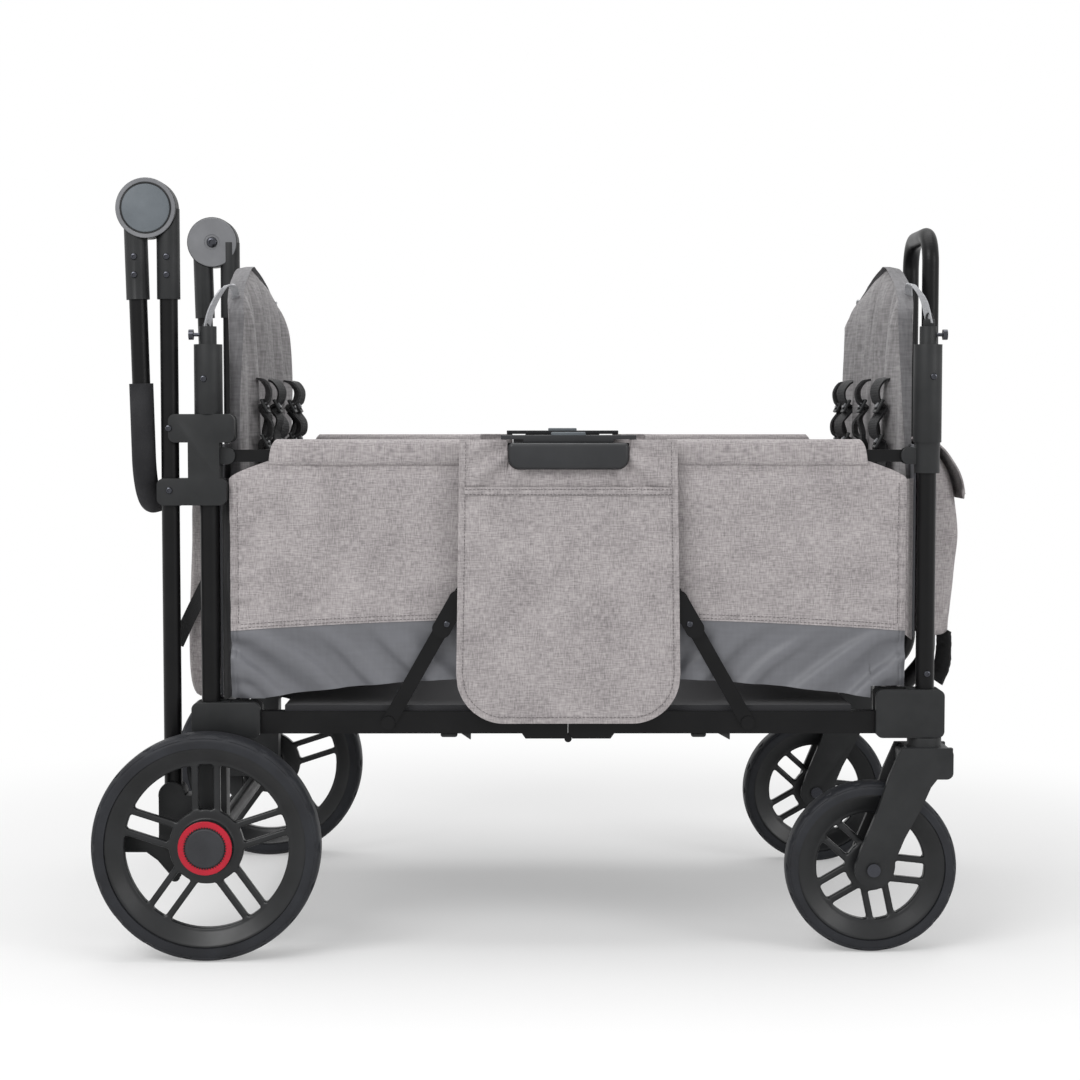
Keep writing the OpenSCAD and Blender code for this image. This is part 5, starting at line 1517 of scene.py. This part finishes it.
def bench_pad():
    """The rear pad, crowned between its edges, with a sewn channel at its middle."""
    low, high = inside("rear", PAD_RUN, -PAD_HALF, PAD_LOW), inside("rear", PAD_END, PAD_HALF, PAD_TOP)
    pad = block(low, high, PAD_EDGE)
    modify(pad, "REMESH", mode="VOXEL", voxel_size=PAD_VOXEL)
    rest = [v.co.copy() for v in pad.data.vertices]
    pad.modifiers.new("cloth", "CLOTH")
    settings = pad.modifiers["cloth"].settings
    settings.use_pressure = True
    settings.uniform_pressure_force = PAD_PRESSURE
    settings.effector_weights.gravity = 0
    for frame in range(1, PAD_FRAMES + 1):
        bpy.context.scene.frame_set(frame)
    alone(pad)
    bpy.ops.object.modifier_apply(modifier="cloth")
    bpy.context.scene.frame_set(1)
    middle = (PAD_LOW + PAD_TOP) / 2
    for vertex, start in zip(pad.data.vertices, rest):
        move = vertex.co - start
        if move.length > PAD_SWELL:
            move *= PAD_SWELL / move.length
        channel = CHANNEL_DEPTH * math.exp(-((start.y / CHANNEL_W) ** 2)) * ease(start.z, middle, PAD_TOP)
        vertex.co = start + move - UP * channel
    modify(pad, "SUBSURF", levels=1, render_levels=1)
    return pad


def finish_pad(pad, end):
    """Maps and dresses a pad."""
    box_map(pad)
    smooth(pad, 180)
    dress(pad, "bench_pad_" + end, SMOOTH, end + "_frame", end + "_seat_pad")
    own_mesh(pad)


rear_pad = bench_pad()
front_pad = mirrored(rear_pad, (1, 0, 0), (MID_X, 0, 0))
finish_pad(rear_pad, "rear")
finish_pad(front_pad, "front")

# Front pouch and rear pocket

BAG_BACK, BAG_SEAM = 0.0115, 0.001
BAG_ROWS = 60
BAG_SAG, BAG_CREASE, BAG_DENT = 0.004, 0.0022, 0.0020


def bag(end, half, low, top, profile, name, node):
    """A cloth bag on an end's outside: a full front along a profile of (reach, height), and a flat rear."""
    way = curve_through([(reach, 0, z) for reach, z in profile], BAG_ROWS)[0]
    us, vs = spaced((-1, 1, 72)), list(range(BAG_ROWS + 1))

    def front(u, v):
        full = (1 - abs(u) ** 18) ** 0.5
        up = v / BAG_ROWS
        sag = BAG_SAG * (1 - u * u) * (1 - up)
        crease = BAG_CREASE * math.sin(u * 15 + 2.4 * ripple(u, up, 31, 0.4)) * math.sin(math.pi * up)
        dent = BAG_DENT * ripple(u, up, 33, 0.35)
        edge = BAG_BACK + BAG_SEAM
        reach = edge + max(0.0, full * (way[v].x - edge + crease + dent))
        return inside(end, -reach, half * u, way[v].z - sag)

    def rear(u, v):
        return inside(end, -BAG_BACK, half * u, low + (top - low) * v / BAG_ROWS)

    def lay(u, v):
        return half * u, way[v].z

    piece = cushion(cloth(us, vs, front, lay), cloth(us, vs, rear, lay), 0)
    box_map(piece)
    smooth(piece, 60)
    dress(piece, name, HEATHER, end + "_frame", node)


POUCH_HALF = 0.232
POUCH_LOW, POUCH_TOP = 0.420, 0.684
POUCH_PROFILE = [
    (0.0160, 0.421), (0.0470, 0.424), (0.0515, 0.443), (0.0590, 0.510), (0.0655, 0.560),
    (0.0605, 0.605), (0.0490, 0.645), (0.0320, 0.672), (0.0140, 0.683)]
bag("front", POUCH_HALF, POUCH_LOW, POUCH_TOP, POUCH_PROFILE, "front_pouch_bag", "front_pouch")
REAR_POCKET_HALF = 0.265
REAR_POCKET_LOW, REAR_POCKET_TOP = 0.340, 0.667
REAR_POCKET_PROFILE = [
    (0.0140, 0.341), (0.0320, 0.346), (0.0400, 0.380), (0.0405, 0.450),
    (0.0380, 0.540), (0.0330, 0.620), (0.0220, 0.660), (0.0130, 0.666)]
bag("rear", REAR_POCKET_HALF, REAR_POCKET_LOW, REAR_POCKET_TOP, REAR_POCKET_PROFILE, "rear_pocket_bag",
    "rear_pocket")

LID_WAY = [(0.010, 0.690), (0.024, 0.688), (0.041, 0.672), (0.0550, 0.648), (0.0635, 0.622), (0.0630, 0.610)]
LID_HALF = 0.2355
LID_T = 0.0022
LID_ROWS, LID_SEAM_ROW = 30, 28
LID_OUT, LID_WAVE = 0.0012, 0.0015
LID_CORNER, LID_CORNER_IN, LID_CORNER_UP = 0.94, 0.004, 0.010
LID_THREAD_OUT, LID_SEAM_SHARE = 0.0016, 0.96


def pouch_lid():
    """The flap over the front pouch, bowed out over its mouth, with a stitched edge."""
    way, length = curve_through([(reach, 0, z) for reach, z in LID_WAY], LID_ROWS)

    def place(u, v):
        corner = max(0.0, abs(u) - LID_CORNER) / (1 - LID_CORNER)
        wave = LID_WAVE * ripple(u, v / LID_ROWS, 35, 0.3)
        reach = way[v].x + LID_OUT + wave - LID_CORNER_IN * corner ** 2
        return inside("front", -reach, LID_HALF * u, way[v].z + LID_CORNER_UP * corner ** 3 * v / LID_ROWS)

    def lay(u, v):
        return LID_HALF * u, v * length / LID_ROWS

    lid = cloth(spaced((-1, 1, 72)), list(range(LID_ROWS + 1)), place, lay, LID_T)
    dress(lid, "front_pouch_lid", HEATHER, "front_frame")
    span = spaced((-LID_SEAM_SHARE, LID_SEAM_SHARE, 60))
    seam = [place(u, LID_SEAM_ROW) + Vector((LID_THREAD_OUT, 0, 0)) for u in span]
    threads = stitch_row(seam, (1, 0, 0.15))
    dress(threads, "front_pouch_stitches", THREAD, "front_frame")


pouch_lid()

APRON_WAY = [(0.0485, 0.426), (0.0490, 0.395), (0.0465, 0.374), (0.0410, 0.361), (0.0370, 0.352)]
APRON_START, APRON_END = 0.120, 0.226
APRON_ROWS, APRON_T = 24, 0.002
APRON_WAVE, APRON_WAVE_SIZE = 0.001, 0.06


def pouch_apron(side):
    """The black cloth that runs from one side of the pouch's foot back towards the low cross tube."""
    way, length = curve_through([(reach, 0, z) for reach, z in APRON_WAY], APRON_ROWS)

    def place(y, v):
        wave = APRON_WAVE * ripple(y, v / APRON_ROWS, 37, APRON_WAVE_SIZE)
        return inside("front", -way[v].x - wave, SIDES[side] * y, way[v].z)

    def lay(y, v):
        return y, v * length / APRON_ROWS

    apron = cloth(spaced((APRON_START, APRON_END, 24)), list(range(APRON_ROWS + 1)), place, lay, APRON_T)
    mended(apron)
    dress(apron, "front_pouch_apron_" + side, LINING_AND_SHADE_CLOTH, "front_frame")


for side in SIDES:
    pouch_apron(side)

LEG_Y, LEG_OUT, LEG_R = 0.083, 0.041, 0.012
CUFF_Z = 0.680
# Each row holds a cuff's distance from the leg and its height
CUFF_PROFILE = [
    (0.0008, -0.014), (0.0050, -0.014), (0.0052, 0.000), (0.0036, 0.010), (0.0022, 0.012), (0.0010, 0.010)]


def leg_cuffs():
    """Sewn cuffs where the pull handle's legs leave the pouch's lid."""
    profile = [(LEG_R + out, z) for out, z in CUFF_PROFILE]
    spots = [inside("front", -LEG_OUT, sign * LEG_Y, CUFF_Z) for sign in SIDES.values()]
    cuffs = [spun(profile, spot, UP, 40) for spot in spots]
    for cuff in cuffs:
        box_map(cuff)
    piece = joined(cuffs)
    smooth(piece, 50)
    dress(piece, "pull_handle_cuffs", HEATHER, "front_frame")


leg_cuffs()

# Black straps sewn across the rear pocket's sides

POCKET_STRAP_WAY = [(-0.008, 0.2690, 0.500), (-0.030, 0.2705, 0.456), (-0.050, 0.2700, 0.414)]
POCKET_STRAP_W, POCKET_STRAP_T = 0.018, 0.0018

for side, sign in SIDES.items():
    way = [inside("rear", run, sign * y, z) for run, y, z in POCKET_STRAP_WAY]
    piece = strap(way, (0.9, 0, -0.44), POCKET_STRAP_W, POCKET_STRAP_T, 16)
    dress(piece, "pocket_strap_" + side, WEBBING, "rear_frame")
